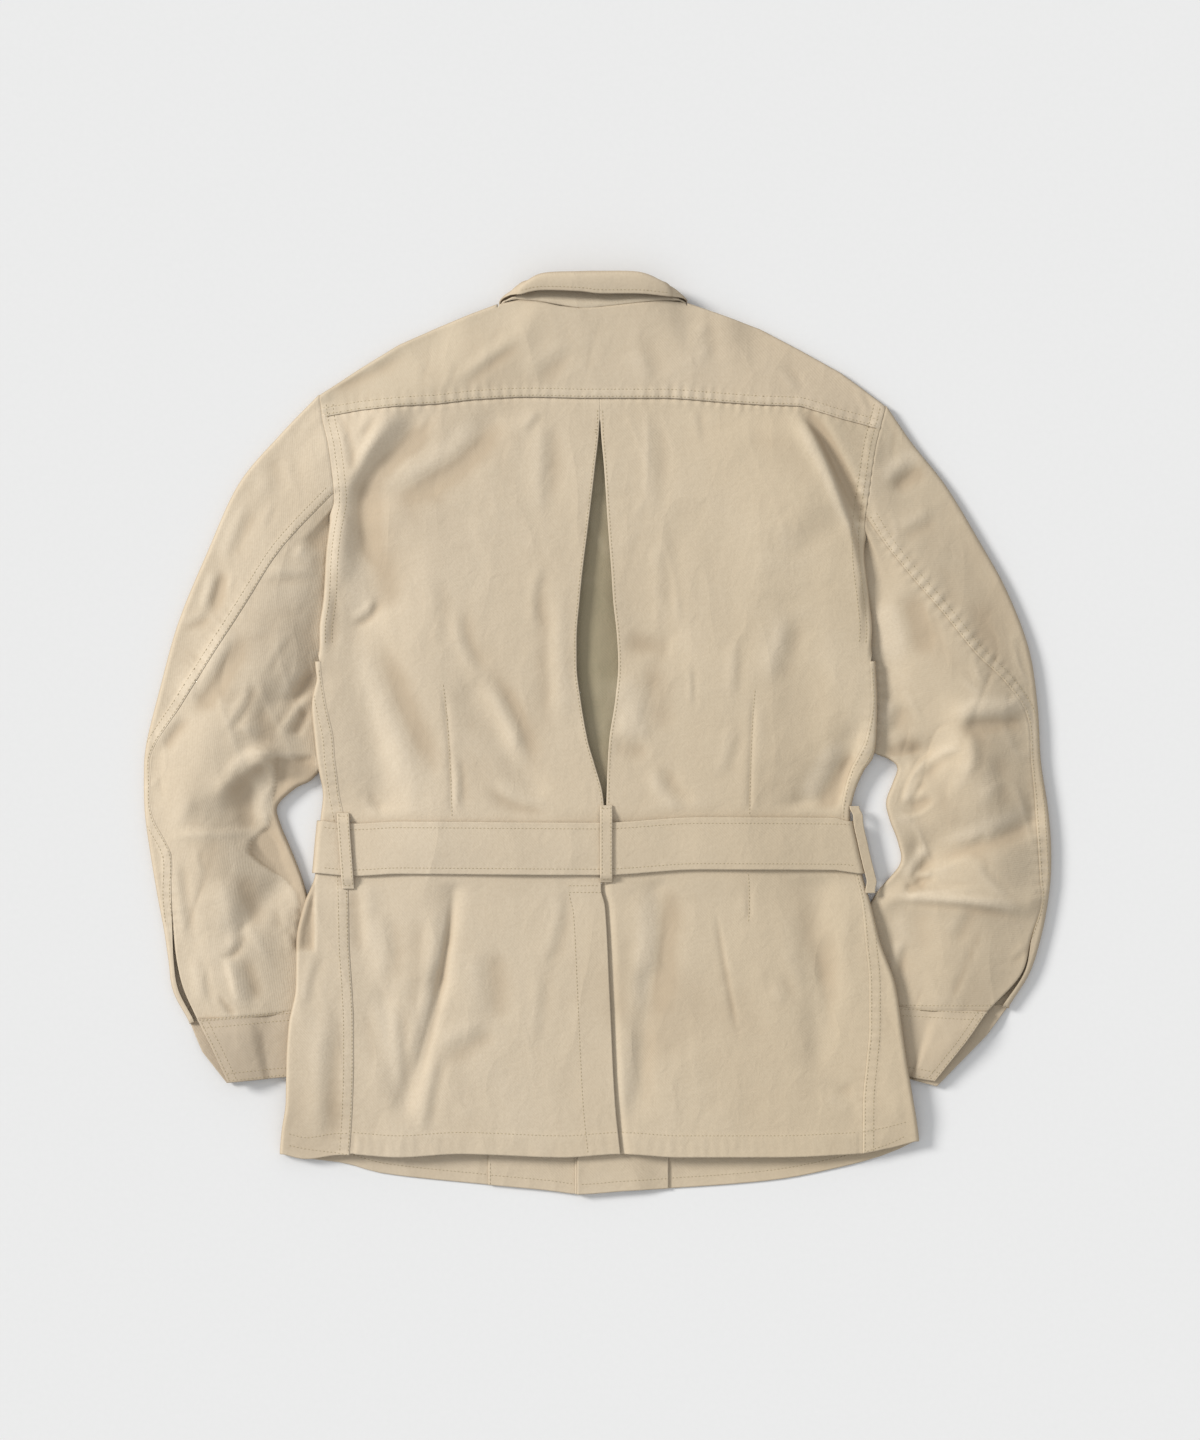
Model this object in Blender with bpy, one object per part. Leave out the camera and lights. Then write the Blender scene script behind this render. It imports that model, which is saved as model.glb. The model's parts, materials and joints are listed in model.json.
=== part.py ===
"""A bush jacket of khaki cotton, laid on its front with its back up.

The tables below are in millimetres: x runs to the right as seen from above, y toward the collar, z up,
with the floor at z = 0. Left and right are the wearer's, which are also the viewer's, because the back
is up. Each piece of cloth is a sheet of points through the middle of its wall, thickened by a Solidify
modifier.
"""

import math

import bpy
import numpy as np

MM = 0.001
CLOTH = 1.2  # wall of one layer
DOUBLE = 2.2  # wall of the cuffs and the belt, which are two layers turned and pressed
GAP = 0.3  # between neighbouring pieces at a seam
LAP = 1.6  # from the middle of a layer to the middle of the next one lying on it
FOLD = 3.2  # radius of the side and shoulder folds, to the middle of the wall
SIDE_SHELF = 35.0  # how far in from a side fold the fronts stay fully up over a sleeve
SIDE_FALL = 60.0  # how much further in they have come down again
ARM_FALL = 35.0  # the same beside the armhole, where there is no shelf
SWELL_REACH = 110.0  # how far in from a side fold the back goes on rising
SHOULDER_REACH = 60.0  # the same, down from the shoulder fold

BELT_WIDTH = 47.0
BELT_LAYER = CLOTH / 2 + 0.4 + DOUBLE / 2  # from the middle of the back's wall to the middle of the belt's
BELT_ROOM = 3.0  # how far the belt lifts the fronts
BUCKLE_ROOM = 5.2
BUCKLE_REACH = 70.0
BUTTON_ROOM = 3.2
COLLAR_ROOM = 5.0
COLLAR_WALL = 1.8

YOKE_WRAP = 25.0  # the shoulder seam lies this far under the shoulder fold
NECK_HALF_WIDTH = 88.0
NECK_DROP = 300.0  # y of the front neckline at the centre
CLOSING_LEFT_EDGE = 24.0  # x of the left front's edge, which passes the centre under the right front
CLOSING_RIGHT_EDGE = -21.0
FACING_LEFT_EDGE = -99.0
FACING_RIGHT_EDGE = 63.0
RIDE_OVER = 3.4  # the right front lies this far above the left front and its facing
PLEAT_DEPTH = 30.0  # how far the pleat goes back under each edge of its opening
UNDERLAP = 35.0  # how far the vent's lower layer goes under its flap

# Sections across the body, from the hem up. A fold is the jacket's own edge, and a seam is the edge of
# the back. Above the underarm the fold columns only say where the back starts to rise, and the seam
# columns are the armholes.
TORSO = """
   y  fold_left  seam_left  seam_right  fold_right  lift_left  lift_right  rise
-378     -286.0     -223.0       237.0       287.5        0.5         0.5   4.0
-358     -284.0     -221.5       237.0       285.5        4.0         4.0   4.5
-331     -280.0     -220.0       237.0       282.0        7.5         7.5   5.5
-295     -279.5     -219.0       240.0       276.0        7.5         7.5   7.0
-263     -277.5     -219.0       242.5       271.5        7.5         7.5   8.0
-227     -271.0     -220.5       242.5       266.0        7.5         7.5   9.0
-187     -270.5     -223.0       239.0       252.0        7.5         7.5   9.5
-155     -264.0     -223.5       236.0       244.0        7.0         6.0   9.5
-128     -254.0     -224.5       230.0       236.5        4.0         3.0  11.0
-101     -251.5     -226.0       223.5       230.0        3.0         3.0  12.0
 -76     -249.0     -228.0       217.5       225.5        2.0         2.0  12.0
 -56     -247.0     -232.0       220.0       229.0        3.0         2.0  11.5
 -34     -250.5     -234.5       226.0       238.0        6.5         3.0  11.0
 -22     -252.5     -236.0       232.0       246.0        7.5         5.0  11.0
  -7     -254.0     -237.0       239.0       248.5        7.5         7.5  11.0
  29     -257.0     -244.5       244.5       249.5        7.5         8.0  11.5
  64     -254.5     -249.0       243.0       247.5        7.5         8.0  12.0
  92     -250.0     -250.0       245.0       245.0        7.0         8.0  12.0
 119     -246.5     -246.5       242.5       242.5        6.5         7.5  12.0
 160     -250.0     -244.0       238.0       244.0        6.0         7.0  12.0
 178     -261.0     -242.0       238.0       257.0        5.0         6.0  12.0
 190     -273.0     -240.0       239.0       273.0        4.0         4.0  12.0
 209     -290.0     -237.0       241.5       290.0        0.0         0.0  12.0
 254     -300.0     -241.5       248.0       305.0        0.0         0.0  12.0
 283     -300.0     -248.0       255.5       305.0        0.0         0.0  12.0
 303     -300.0     -250.5       261.0       305.0        0.0         0.0  12.0
"""
SEAM = {-1: "seam_left", 1: "seam_right"}
SIDE_NAME = {-1: "left", 1: "right"}
UNDERARM = 65.0  # y of the underarm point: the fronts turn over the sides below it
CURL_TOP = {-1: 207.0, 1: 187.0}  # y where the back starts to turn under beside each armhole
CURL_RUN = 28.0  # it has turned fully this much lower, and as much above the underarm point

# The lower edges, by x. The back's hem hangs 10 to 35 above the fronts' own.
BACK_HEM = """
   x     y
-224  -378
-179  -381
-125  -378
 -30  -381
  19  -378
  73  -381
 160  -381
 237  -378
"""
FRONT_HEM = """
   x  under   top
-286   -378  -378
-262   -383  -383
-230   -387  -379
-197   -396  -381
-107   -406  -384
 -44   -412  -385
 -19   -415  -385
  24   -412  -385
  64   -410  -384
 154   -403  -382
 226   -389  -379
 262   -378  -373
 287   -366  -366
"""

# The edges of the pleat's opening, and below it the edge of the vent's flap.
PLEAT = """
   y   left  right
 292    1.2    1.6
 277    0.9    1.8
 236   -3.2    5.0
 182   -9.5    8.6
 146  -14.0   11.3
 119  -16.7   13.0
  83  -19.4   16.7
  61  -19.4   17.6
  29  -15.8   14.9
  -7   -9.5    9.5
 -29   -3.2    8.1
 -56    4.0    7.2
 -80    6.0    6.6
-140    2.5    2.5
-155    6.0    6.0
-241   10.5   10.5
-331   15.0   15.0
-380   20.0   20.0
"""
PLEAT_TOP, PLEAT_BOTTOM = 288.0, -72.0
FLAP_TOP = -88.0  # below this the left back lies on the right back

# The yoke, from left to right: its seam, the shoulder fold or neck seam above it, and the line where
# its height would come down to the fold's.
YOKE = """
lower_x  seam_y  upper_x  top_y  fall_y
 -247.9   283.0   -250.1    303     303
 -215.0   288.5   -215.0    326     326
 -179.0   292.0   -179.0    348     348
 -143.0   294.0   -143.0    364     364
 -115.0   297.5   -115.0    375     375
  -91.0   299.0    -91.0    384     386
  -71.0   300.0    -71.0    388     405
  -53.0   300.0    -53.0    386     430
  -35.0   299.5    -35.0    382     440
  -17.0   299.0    -17.0    380     440
    1.0   299.0      1.0    381     440
   37.0   299.0     37.0    385     440
   62.0   299.0     62.0    387     415
   80.0   298.0     80.0    385     390
  109.0   295.5    109.0    375     375
  145.0   293.0    145.0    362     362
  181.0   292.0    181.0    343     343
  217.0   281.0    217.0    323     323
  236.0   276.5    239.0    307     307
  252.5   272.0    257.3    293     293
"""

# The armholes on the underside, where each front meets its sleeve.
ARMHOLE = """
  y   left  right
 65 -249.0  244.0
100 -228.0  223.0
150 -214.0  210.0
209 -219.0  218.0
240 -231.0  239.0
262 -245.0  255.5
266 -247.0  257.4
275 -250.3  257.8
310 -251.0  258.5
"""

# The step down from the full right back to the cloth beside its armhole.
RIDGE = """
  y      x
140  241.0
178  233.0
209  222.0
241  210.0
266  199.0
280  188.0
292  177.0
"""
RIDGE_STEP = 6.0
RIDGE_WIDTH = 8.0
RIDGE_FADE = 120.0

# The largest folds: each a soft ridge, or a trough where its height is negative, from one point to another.
FOLDS = """
start_x start_y  end_x  end_y  width  height
   -192     277   -223    227     12     3.5
   -223     227   -233    150     12     3.5
   -165     286   -222    212     16    -4.0
   -222     205   -206    110     18    -4.0
    -98     281   -197    209     14    -3.0
   -219      97   -192    -66     16    -3.0
   -112      29    -62    -45     13    -2.5
   -129    -135   -143   -223      9    -3.0
   -143    -223   -172   -330      9    -3.0
   -192    -241   -179   -322     10    -2.0
     42     100     60     84     20    -3.0
    226      -7    181    -68     13    -4.0
     51    -135     42   -223     10    -2.5
     42    -223     33   -331     10    -2.5
    197    -135    197   -286     13    -2.0
   -332     -47   -300    -23     10     5.0
   -300     -23   -262    -38     10     5.0
   -345     -75   -300   -100     14    -5.0
   -290      28   -262     45     12    -4.0
   -320    -170   -290   -140     13    -4.0
    262     -25    292    -18     10    -5.0
    325      10    336    -28     11     4.0
    275     -22    300    -60     14     4.0
    290    -108    392    -75     15    -5.0
    262    -148    392    -154     12     4.0
    250     150    262     40     16    -3.0
"""

# The sleeves, from the armhole to the cuff seam: each section runs from its outer edge, through the
# back seam, to its inner edge. Past the start of the cuff's slit the seam columns are the upper layer's
# free edge.
LEFT_SLEEVE = """
outer_x outer_y seam_x seam_y inner_x inner_y  rise  outer_r  inner_r  open
 -251.3     303   -238    214    -240.5    66   6.0      3.2      1.8   0.0
 -287.0     266   -269    182    -245      38   8.0      3.4      1.8   0.0
 -323.0     223   -291    155    -244      14  10.0      3.6      1.8   0.0
 -351.0     162   -317    113    -244      -8  12.0      4.0      1.8   0.0
 -377.0      99   -346     68    -246     -26  13.0      4.0      2.0   0.0
 -394.0      38   -374     24    -258     -42  13.0      4.0      3.0   0.0
 -406.0     -11   -400    -16    -273     -50  13.0      4.0      3.4   0.0
 -408.0     -41   -402    -43    -289     -66  13.0      4.0      3.4   0.0
 -407.0     -74   -400    -75    -286     -83  12.0      4.0      3.4   0.0
 -402.0    -110   -383   -109    -276    -107  11.0      4.0      3.2   0.0
 -396.0    -146   -383   -146    -266    -134   9.0      3.6      2.2   0.0
 -390.0    -178   -380   -179    -258    -166   8.0      3.4      1.8   0.4
 -386.0    -205   -378   -205    -254    -195   7.0      3.4      1.8   0.9
 -382.0    -232   -372   -230    -253    -223   6.0      3.4      1.8   0.9
 -368.0    -259   -360   -257    -255    -248   5.0      3.2      1.8   0.9
"""
RIGHT_SLEEVE = """
outer_x outer_y seam_x seam_y inner_x inner_y  rise  outer_r  inner_r  open
  258.5     293    242     193     235      66   6.0      3.2      1.8   0.0
  282.0     259    258    167     240      22   8.0      3.4      1.8   0.0
  312.0     221    282    137     240       4  10.0      3.6      1.8   0.0
  341.0     173    308    107     242     -14  12.0      4.0      1.8   0.0
  366.0     128    336     72     262     -24  13.0      4.0      3.0   0.0
  386.0      76    364     45     269     -32  13.0      4.0      3.4   0.0
  394.0      25    384     15     265     -45  13.0      4.0      3.4   0.0
  397.0     -25    388    -27     259     -62  13.0      4.0      3.4   0.0
  403.0     -65    392    -67     262     -78  13.0      4.0      3.4   0.0
  406.0     -97    394    -99     270    -100  12.0      4.0      3.2   0.0
  406.0    -128    396   -131     271    -119  10.0      3.8      3.0   0.0
  403.0    -155    397   -154     250    -145   9.0      3.6      2.2   0.0
  397.0    -185    387   -185     238    -172   8.0      3.4      1.8   0.3
  387.0    -216    379   -217     242    -205   7.0      3.4      1.8   0.9
  369.0    -245    349   -250     251    -245   5.0      3.2      1.8   0.9
"""
FRONT_SEAM = 0.7  # the sleeve's hidden seam, as a share of the way along its underside from the outer edge

# The cuffs, from the cuff seam down: the lower layer's end, the upper layer's end and the inner fold.
LEFT_CUFF = """
lower_x lower_y upper_x upper_y inner_x inner_y  rise
 -368.0    -259    -360    -257    -255    -248   4.6
 -356.0    -287    -348    -280    -257    -279   4.6
 -334.0    -315    -332    -314    -261    -308   4.6
"""
RIGHT_CUFF = """
lower_x lower_y upper_x upper_y inner_x inner_y  rise
  369.0    -245     349    -250     251    -245   4.6
  349.0    -272     330    -277     254    -277   4.6
  304.0    -318     302    -313     258    -306   4.6
"""
CUFF_FOLD = 1.9
CUFF_UPPER = np.array((0, 0.14, 0.28, 0.42, 0.56, 0.78, 1))  # shares of the way in along the upper layer
CUFF_LOWER = np.array((0, 0.16, 0.32, 0.46, 0.58, 0.66, 0.74, 0.87, 1))  # and out along the lower one
CUFF_LIFT = 2.7  # the end of the lower layer lies this high on its button

# The collar, from the left front round the back of the neck to the right front. The stand runs from the
# seam to the roll, and the fall from the roll over to its edge. Under the fronts both lie flat.
COLLAR = """
seam_x seam_y seam_z roll_x roll_y roll_z edge_x edge_y edge_z bulge_x bulge_y bulge_z
   -12    304    5.6     -8    330    3.5    -62    262    1.0       0      10       0
   -46    316    5.6    -34    338    3.5    -92    290    1.0       8       8       0
   -70    334    5.6    -52    350    3.3   -110    318    1.0      10       4       0
   -84    350    5.6    -62    364    3.3   -116    340    1.0      10       2       0
   -88    374    6.2    -66    378    3.6   -100    366    1.3      -2       2       0
   -87    381    8.0    -69    386    4.7    -90    380    1.3      -2       3       0
   -85    386   11.0    -70    391    6.5    -88    388    8.0      -2       3       0
   -80    388   13.0    -67    396    8.5    -80    394   17.0      -2       3       4
   -75    389   13.3    -63    399    9.2    -75    395   22.0      -2       5       5
   -70    389   13.6    -58    402    9.5    -69    395   26.0      -2       6       7
   -53    387   17.5    -45    406    9.5    -52    398   29.0      -2       9       8
   -17    381   19.2    -16    407    9.0    -17    397   30.5       0      10       9
     1    382   19.2      1    407    9.0      1    395   30.5       0      11       9
    37    386   19.0     34    405    9.5     37    395   29.0       1      12       8
    61    388   15.0     51    401    9.5     61    393   26.0       2       7       7
    67    388   13.8     56    398    9.2     67    393   22.0       2       5       5
    72    388   13.0     60    395    8.5     74    392   17.0       3       3       4
    77    385   11.0     62    390    6.5     79    388    8.0       2       3       0
    78    380    8.0     61    385    4.7     80    382    1.3       2       2       0
    79    372    6.2     60    376    3.8     96    364    1.3       2       2       0
    77    350    5.6     56    364    3.5    110    340    1.0     -10       2       0
    66    334    5.6     48    350    3.5    106    318    1.0     -10       4       0
    44    316    5.6     32    338    3.5     90    290    1.0      -8       8       0
    12    304    8.6      8    330    3.5     62    262    1.0       0      10       0
"""

ROLL_RADIUS = 1.25
ROLL_CLEARANCE = 1.3  # between stand and fall where the roll turns from the fronts to the back

BELT_LINE = """
   x     y
-257  -102
-219  -105
-179  -103
   1  -104
  91   -99
 217  -100
 240  -103
"""

BELT_TURN = FOLD + BELT_LAYER + 0.5  # radius of the belt's turn round a side
BUCKLE_HALF = 26.0  # half the buckle's length along the belt
BUCKLE_FRAME = 4.5
BUCKLE_THICKNESS = 2.0
TONGUE_RISE = 2.6
RIGHT_LOOP_STAND = 4.4  # how far the right loop stands off the side fold to clear the belt's turn

LOOP_WIDTH = 11.0
LOOPS = """
side  top_x  top_y  bottom_x  bottom_y
  -1   -229    -72      -224      -140
   0      7    -65         7      -134
"""

BUTTON_RADIUS = 10.0
BUTTON_THICKNESS = 2.6
CUFF_BUTTON_RADIUS = 7.5
CUFF_BUTTON_THICKNESS = 2.2
FRONT_BUTTONS = (215.0, 110.0, 5.0, -205.0)


def table(text):
    """The columns of a table, by name: its first line names them, and each later line is a row."""
    lines = [line.split() for line in text.strip().splitlines()]
    return {name: np.array([float(row[i]) for row in lines[1:]]) for i, name in enumerate(lines[0])}


TORSO, YOKE, PLEAT, ARMHOLE, RIDGE = map(table, (TORSO, YOKE, PLEAT, ARMHOLE, RIDGE))
BACK_HEM, FRONT_HEM, FOLDS, BELT_LINE = map(table, (BACK_HEM, FRONT_HEM, FOLDS, BELT_LINE))
LEFT_SLEEVE, RIGHT_SLEEVE = map(table, (LEFT_SLEEVE, RIGHT_SLEEVE))
LEFT_CUFF, RIGHT_CUFF, COLLAR, LOOPS = map(table, (LEFT_CUFF, RIGHT_CUFF, COLLAR, LOOPS))


def smooth(t):
    """0 below 0, 1 above 1, and an even S between."""
    t = np.clip(t, 0.0, 1.0)
    return t * t * (3 - 2 * t)


def mix(a, b, t):
    return a + (b - a) * t


def through(xs, ys, x):
    """A curve through the points that never swings past them, read at x."""
    order = np.argsort(xs)
    xs, ys = xs[order], ys[order]
    run, slope = np.diff(xs), np.diff(ys) / np.diff(xs)
    tangent = np.concatenate(([slope[0]], np.zeros(len(slope) - 1), [slope[-1]]))
    steady = slope[:-1] * slope[1:] > 0
    tangent[1:-1][steady] = 2 * (slope[:-1] * slope[1:])[steady] / (slope[:-1] + slope[1:])[steady]
    x = np.clip(x, xs[0], xs[-1])
    i = np.clip(np.searchsorted(xs, x) - 1, 0, len(run) - 1)
    t = (x - xs[i]) / run[i]
    bend = t * t * (3 - 2 * t)
    push = run[i] * (t * (1 - t) ** 2 * tangent[i] - t * t * (1 - t) * tangent[i + 1])
    return ys[i] + (ys[i + 1] - ys[i]) * bend + push


def torso(name, y):
    return through(TORSO["y"], TORSO[name], y)


def belt_line(x):
    return through(BELT_LINE["x"], BELT_LINE["y"], x)


def band(distance, half, fade):
    """1 within half of the middle, falling to 0 over the fade."""
    return smooth(1 - (np.abs(distance) - half) / fade)


def side_distance(x, y):
    return np.minimum(x - torso("fold_left", y), torso("fold_right", y) - x)


def collar_room(x, y):
    return COLLAR_ROOM * band(x, 114, 30) * smooth((y - 228) / 34)


def side_lift(x, y, shelf, fall):
    """What a sleeve under the body's side lifts it by: all of it over the shelf, and nothing past the
    fall."""
    left = torso("lift_left", y) * smooth((shelf + fall - x + torso("fold_left", y)) / fall)
    right = torso("lift_right", y) * smooth((shelf + fall - torso("fold_right", y) + x) / fall)
    return np.maximum(left, right)


def middle_lift(x, y):
    """The same for the belt, its buckle and the front buttons."""
    by_belt = band(y - belt_line(x), BELT_WIDTH / 2 + 3, 30)
    buckle = BUCKLE_ROOM * by_belt * band(x, BUCKLE_REACH, 40)
    buttons = BUTTON_ROOM * band(x, 14, 30) * smooth((y + 265) / 40)
    return np.maximum.reduce([BELT_ROOM * by_belt, buckle, buttons])


def floor_lift(x, y):
    """How high the fronts lie above the floor, over the sleeves, belt, buckle, buttons and collar under
    them."""
    by_arm = smooth((y - UNDERARM - 5) / 60)
    sides = side_lift(x, y, SIDE_SHELF * (1 - by_arm), mix(SIDE_FALL, ARM_FALL, by_arm))
    return np.maximum.reduce([sides, middle_lift(x, y), collar_room(x, y)])


def fold_relief(x, y):
    """The largest folds, pressed flat under the belt."""
    total = np.zeros(np.broadcast(x, y).shape)
    for x0, y0, x1, y1, width, height in zip(*FOLDS.values()):
        length = math.hypot(x1 - x0, y1 - y0)
        along = ((x - x0) * (x1 - x0) + (y - y0) * (y1 - y0)) / length
        across = ((x - x0) * (y1 - y0) - (y - y0) * (x1 - x0)) / length
        past = np.maximum(np.maximum(-along, along - length), 0)
        total = total + height * np.exp(-((across / width) ** 2) - (past / (1.4 * width)) ** 2)
    return total * (1 - band(y - belt_line(x), BELT_WIDTH / 2 + 4, 12) * band(x, 262, 10))


def ridge_relief(x, y):
    inside = through(RIDGE["y"], RIDGE["x"], y) - x
    step = smooth(inside / RIDGE_WIDTH) * smooth(1 - (inside - 20) / RIDGE_FADE)
    return RIDGE_STEP * step * smooth((y - 60) / 90) * smooth((292 - y) / 34)


def flat_height(x, y):
    """The middle of the back's wall before its folds."""
    from_side = side_distance(x, y)
    from_shoulder = through(YOKE["upper_x"], YOKE["fall_y"], x) - y
    swell = smooth(from_side / SWELL_REACH) * smooth(from_shoulder / SHOULDER_REACH)
    sides = np.maximum(side_lift(x, y, SIDE_SHELF, SIDE_FALL), middle_lift(x, y))
    held = sides * smooth(1 - from_side / (SIDE_SHELF + SIDE_FALL))
    near_neck = collar_room(x, y) * smooth(1 - from_shoulder / SHOULDER_REACH)
    return CLOTH / 2 + 2 * FOLD + torso("rise", y) * swell + np.maximum(held, near_neck)


def back_height(x, y):
    edge = smooth(side_distance(x, y) / 18)
    return flat_height(x, y) + fold_relief(x, y) * edge * smooth((302 - y) / 30) + ridge_relief(x, y)


def front_height(x, y):
    return CLOTH / 2 + floor_lift(x, y)


def material(name, colour, roughness, metallic=0.0):
    made = bpy.data.materials.new(name)
    made.use_nodes = True
    shader = made.node_tree.nodes["Principled BSDF"]
    shader.inputs["Base Color"].default_value = (*colour, 1.0)
    shader.inputs["Roughness"].default_value = roughness
    shader.inputs["Metallic"].default_value = metallic
    return made


def finish_object(name, mesh, look):
    mesh.materials.append(look)
    made = bpy.data.objects.new(name, mesh)
    bpy.context.scene.collection.objects.link(made)
    mesh.shade_smooth()
    return made


def sheet(name, points, look, wall=CLOTH):
    """A wall through a grid of points in millimetres. Where a point is missing (nan), there is no cloth."""
    rows, columns = points.shape[:2]
    there = ~np.isnan(points[..., 0])
    number = np.cumsum(there).reshape(rows, columns) - 1
    faces = []
    for i in range(rows - 1):
        for j in range(columns - 1):
            if there[i : i + 2, j : j + 2].all():
                faces.append((number[i, j], number[i, j + 1], number[i + 1, j + 1], number[i + 1, j]))
    mesh = bpy.data.meshes.new(name)
    mesh.from_pydata((points[there] * MM).tolist(), [], [tuple(int(k) for k in face) for face in faces])
    made = finish_object(name, mesh, look)
    walls = made.modifiers.new("wall", "SOLIDIFY")
    walls.thickness = wall * MM
    walls.offset = 0.0
    walls.use_even_offset = True
    walls.use_quality_normals = True
    return made


# Rows of the body's sheets, from the hem to the top of the straight part.
BODY_ROWS = np.array(
    [-331, -295, -260, -225, -187, -155, -128, -101, -88, -76, -56, -30,
    0, 30, 64, 78, 92, 119, 150, 178, 190, 205],
    dtype=float,
)


def seam_line(x):
    """The yoke's seam, straight from one section of the yoke to the next."""
    return np.interp(x, YOKE["lower_x"], YOKE["seam_y"])


def turned(side, y):
    """How far the back's edge has turned under beside the armhole, from 0 to 1."""
    return float(smooth((CURL_TOP[side] - y) / CURL_RUN) * smooth((y - UNDERARM) / CURL_RUN))


def curl(side, y, count=4):
    """The back's edge beside the armhole, which turns under the fold. From its free end to the flat."""
    amount = turned(side, y)
    x_edge = float(torso(SEAM[side], y)) - side * GAP / 2
    start = x_edge - side * (FOLD * amount + 3 * (1 - amount))
    points = []
    for share in np.linspace(1, 0, count + 1):
        turn = math.pi * amount * share
        x = start + side * (FOLD * math.sin(turn) + 3 * (1 - amount) * share)
        z = back_height(mix(x, start, amount), y) - FOLD * (1 - math.cos(turn))
        points.append((x, y, float(z)))
    return points


def armhole_edge(side, y):
    """A point of the sleeve's own edge: beside the back's edge, and below it where that has turned
    under."""
    y = max(y, UNDERARM + CURL_RUN)
    amount, points = turned(side, y), curl(side, y)
    beside = max(side * point[0] for point in points) * side + side * 3 * GAP
    x = mix(beside, points[0][0], float(smooth((amount - 0.4) / 0.5)))
    return x, points[0][2] - (LAP + GAP) * float(smooth((amount - 0.1) / 0.35))


def row_ys(top, bottom):
    """The rows of a back panel where its edges give the levels."""
    low = [bottom, mix(bottom, BODY_ROWS[0], 0.5)]
    high = [mix(BODY_ROWS[-1], top, share) for share in (0.25, 0.5, 0.78, 1.0)]
    return low + list(BODY_ROWS) + high


def back_panel(side, shares):
    """A half of the back. Its rows run from the outer edge (free end of the curl, or side seam) to the
    centre."""
    grid = []
    outer_top, outer_bottom = seam_line(side * 250.0 + 2.0), -378.0
    for k, y_outer in enumerate(row_ys(outer_top - 2 * GAP, outer_bottom)):
        row = curl(side, y_outer)
        x_start = row[-1][0]
        for share in shares[1:]:
            y = y_outer
            for _ in range(3):
                x = mix(x_start, centre_edge(side, y), share)
                bottom, top = through(BACK_HEM["x"], BACK_HEM["y"], x), seam_line(x) - 2 * GAP
                y = float(row_ys(top, bottom)[k])
            z = float(back_height(x, y)) + centre_layer(side, x, y)
            row.append((float(x), y, z))
        grid.append(row)
    return np.array(grid)


def centre_edge(side, y):
    """x of a back panel's edge at the pleat, and of the vent's two layers below it."""
    if side < 0:
        return through(PLEAT["y"], PLEAT["left"], y) - 0.1
    edge = through(PLEAT["y"], PLEAT["right"], y) + 0.1
    return edge - UNDERLAP * smooth((FLAP_TOP - y) / 30)


def centre_layer(side, x, y):
    """What a panel adds to the back's height beside its centre edge: the vent's lower layer lies below
    its flap."""
    from_slit = x - through(PLEAT["y"], PLEAT["left"], y)
    if side < 0:
        return float(0.5 * smooth((FLAP_TOP - 42 - y) / 20) * smooth(1 + from_slit / 40))
    return float(-2.6 * smooth((FLAP_TOP + 11.5 - y) / 11) * smooth((9 - from_slit) / 9))


def back_yoke(look):
    """The yoke, from its seam over the shoulder folds to the shoulder seams on the underside."""
    turns = np.linspace(0, math.pi, 5)
    grid = []
    for i in range(len(YOKE["lower_x"])):
        low_x, high_x, seam_y = YOKE["lower_x"][i], YOKE["upper_x"][i], YOKE["seam_y"][i]
        top_y = YOKE["top_y"][i]
        wraps = not -90 < low_x < 79
        level_top = top_y - (FOLD if wraps else GAP)
        column = []
        for share in np.linspace(0, 1, 6):
            x, y = mix(low_x, high_x, share), mix(seam_y, level_top, share)
            column.append((x, y, float(back_height(x, y))))
        x, y, z = column[-1]
        if wraps:
            for turn in turns[1:]:
                column.append((x, y + FOLD * math.sin(turn), z - FOLD * (1 - math.cos(turn))))
            for back in (YOKE_WRAP / 2, YOKE_WRAP):
                y = top_y - FOLD - back
                column.append((x, y, float(CLOTH / 2 + collar_room(x, y))))
        else:
            column += [(math.nan,) * 3] * 6
        grid.append(column)
    return sheet("back_yoke", np.array(grid), look)


def back_halves(look):
    left = back_panel(-1, np.array([0, 0.06, 0.15, 0.26, 0.38, 0.5, 0.62, 0.74, 0.86, 0.95, 1]))
    right = back_panel(1, np.array([0, 0.05, 0.10, 0.15, 0.20, 0.28, 0.38, 0.5, 0.62, 0.74, 0.85, 0.93, 1]))
    sheet("back_left", left[:, ::-1], look)
    sheet("back_right", right, look)


def back_pleat(look):
    """The pleat's insert: from one edge of the opening back under the panel, across the bottom and out
    again."""
    grid = []
    for y in np.linspace(PLEAT_BOTTOM, PLEAT_TOP, 15):
        left, right = through(PLEAT["y"], PLEAT["left"], y), through(PLEAT["y"], PLEAT["right"], y)
        sag = 5.4 + 2.2 * smooth((right - left) / 30)
        row = []
        for edge, out in ((left, -1), (right, 1)):
            side = []
            for step in (1.0, 15.0, PLEAT_DEPTH):
                x = edge + out * step
                side.append((x, y, back_height(x, y) - 2.0 - 0.5 * step / PLEAT_DEPTH))
            x, _, z = side[-1]
            side += [(x + out * 1.3, y, z - 1.3), (x, y, z - 2.6)]
            side.append((edge + out * 10, y, back_height(edge + out * 10, y) - sag))
            row.append(side if out < 0 else side[::-1])
        middle = (left + right) / 2
        row.insert(1, [(middle, y, back_height(middle, y) - sag)])
        grid.append([point for part in row for point in part])
    return sheet("back_pleat", np.array(grid, dtype=float), look)


FRONT_STRIP = (0, 0.35, 0.7)  # shares of the way from the side seam to the side fold
FRONT_SPAN = (0.12, 0.34, 0.58, 0.8, 1)  # from the side fold, or the armhole, to the facing's inner edge
FACING_SPAN = (0.25, 0.5, 0.75, 1)  # from there to the closing edge


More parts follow.
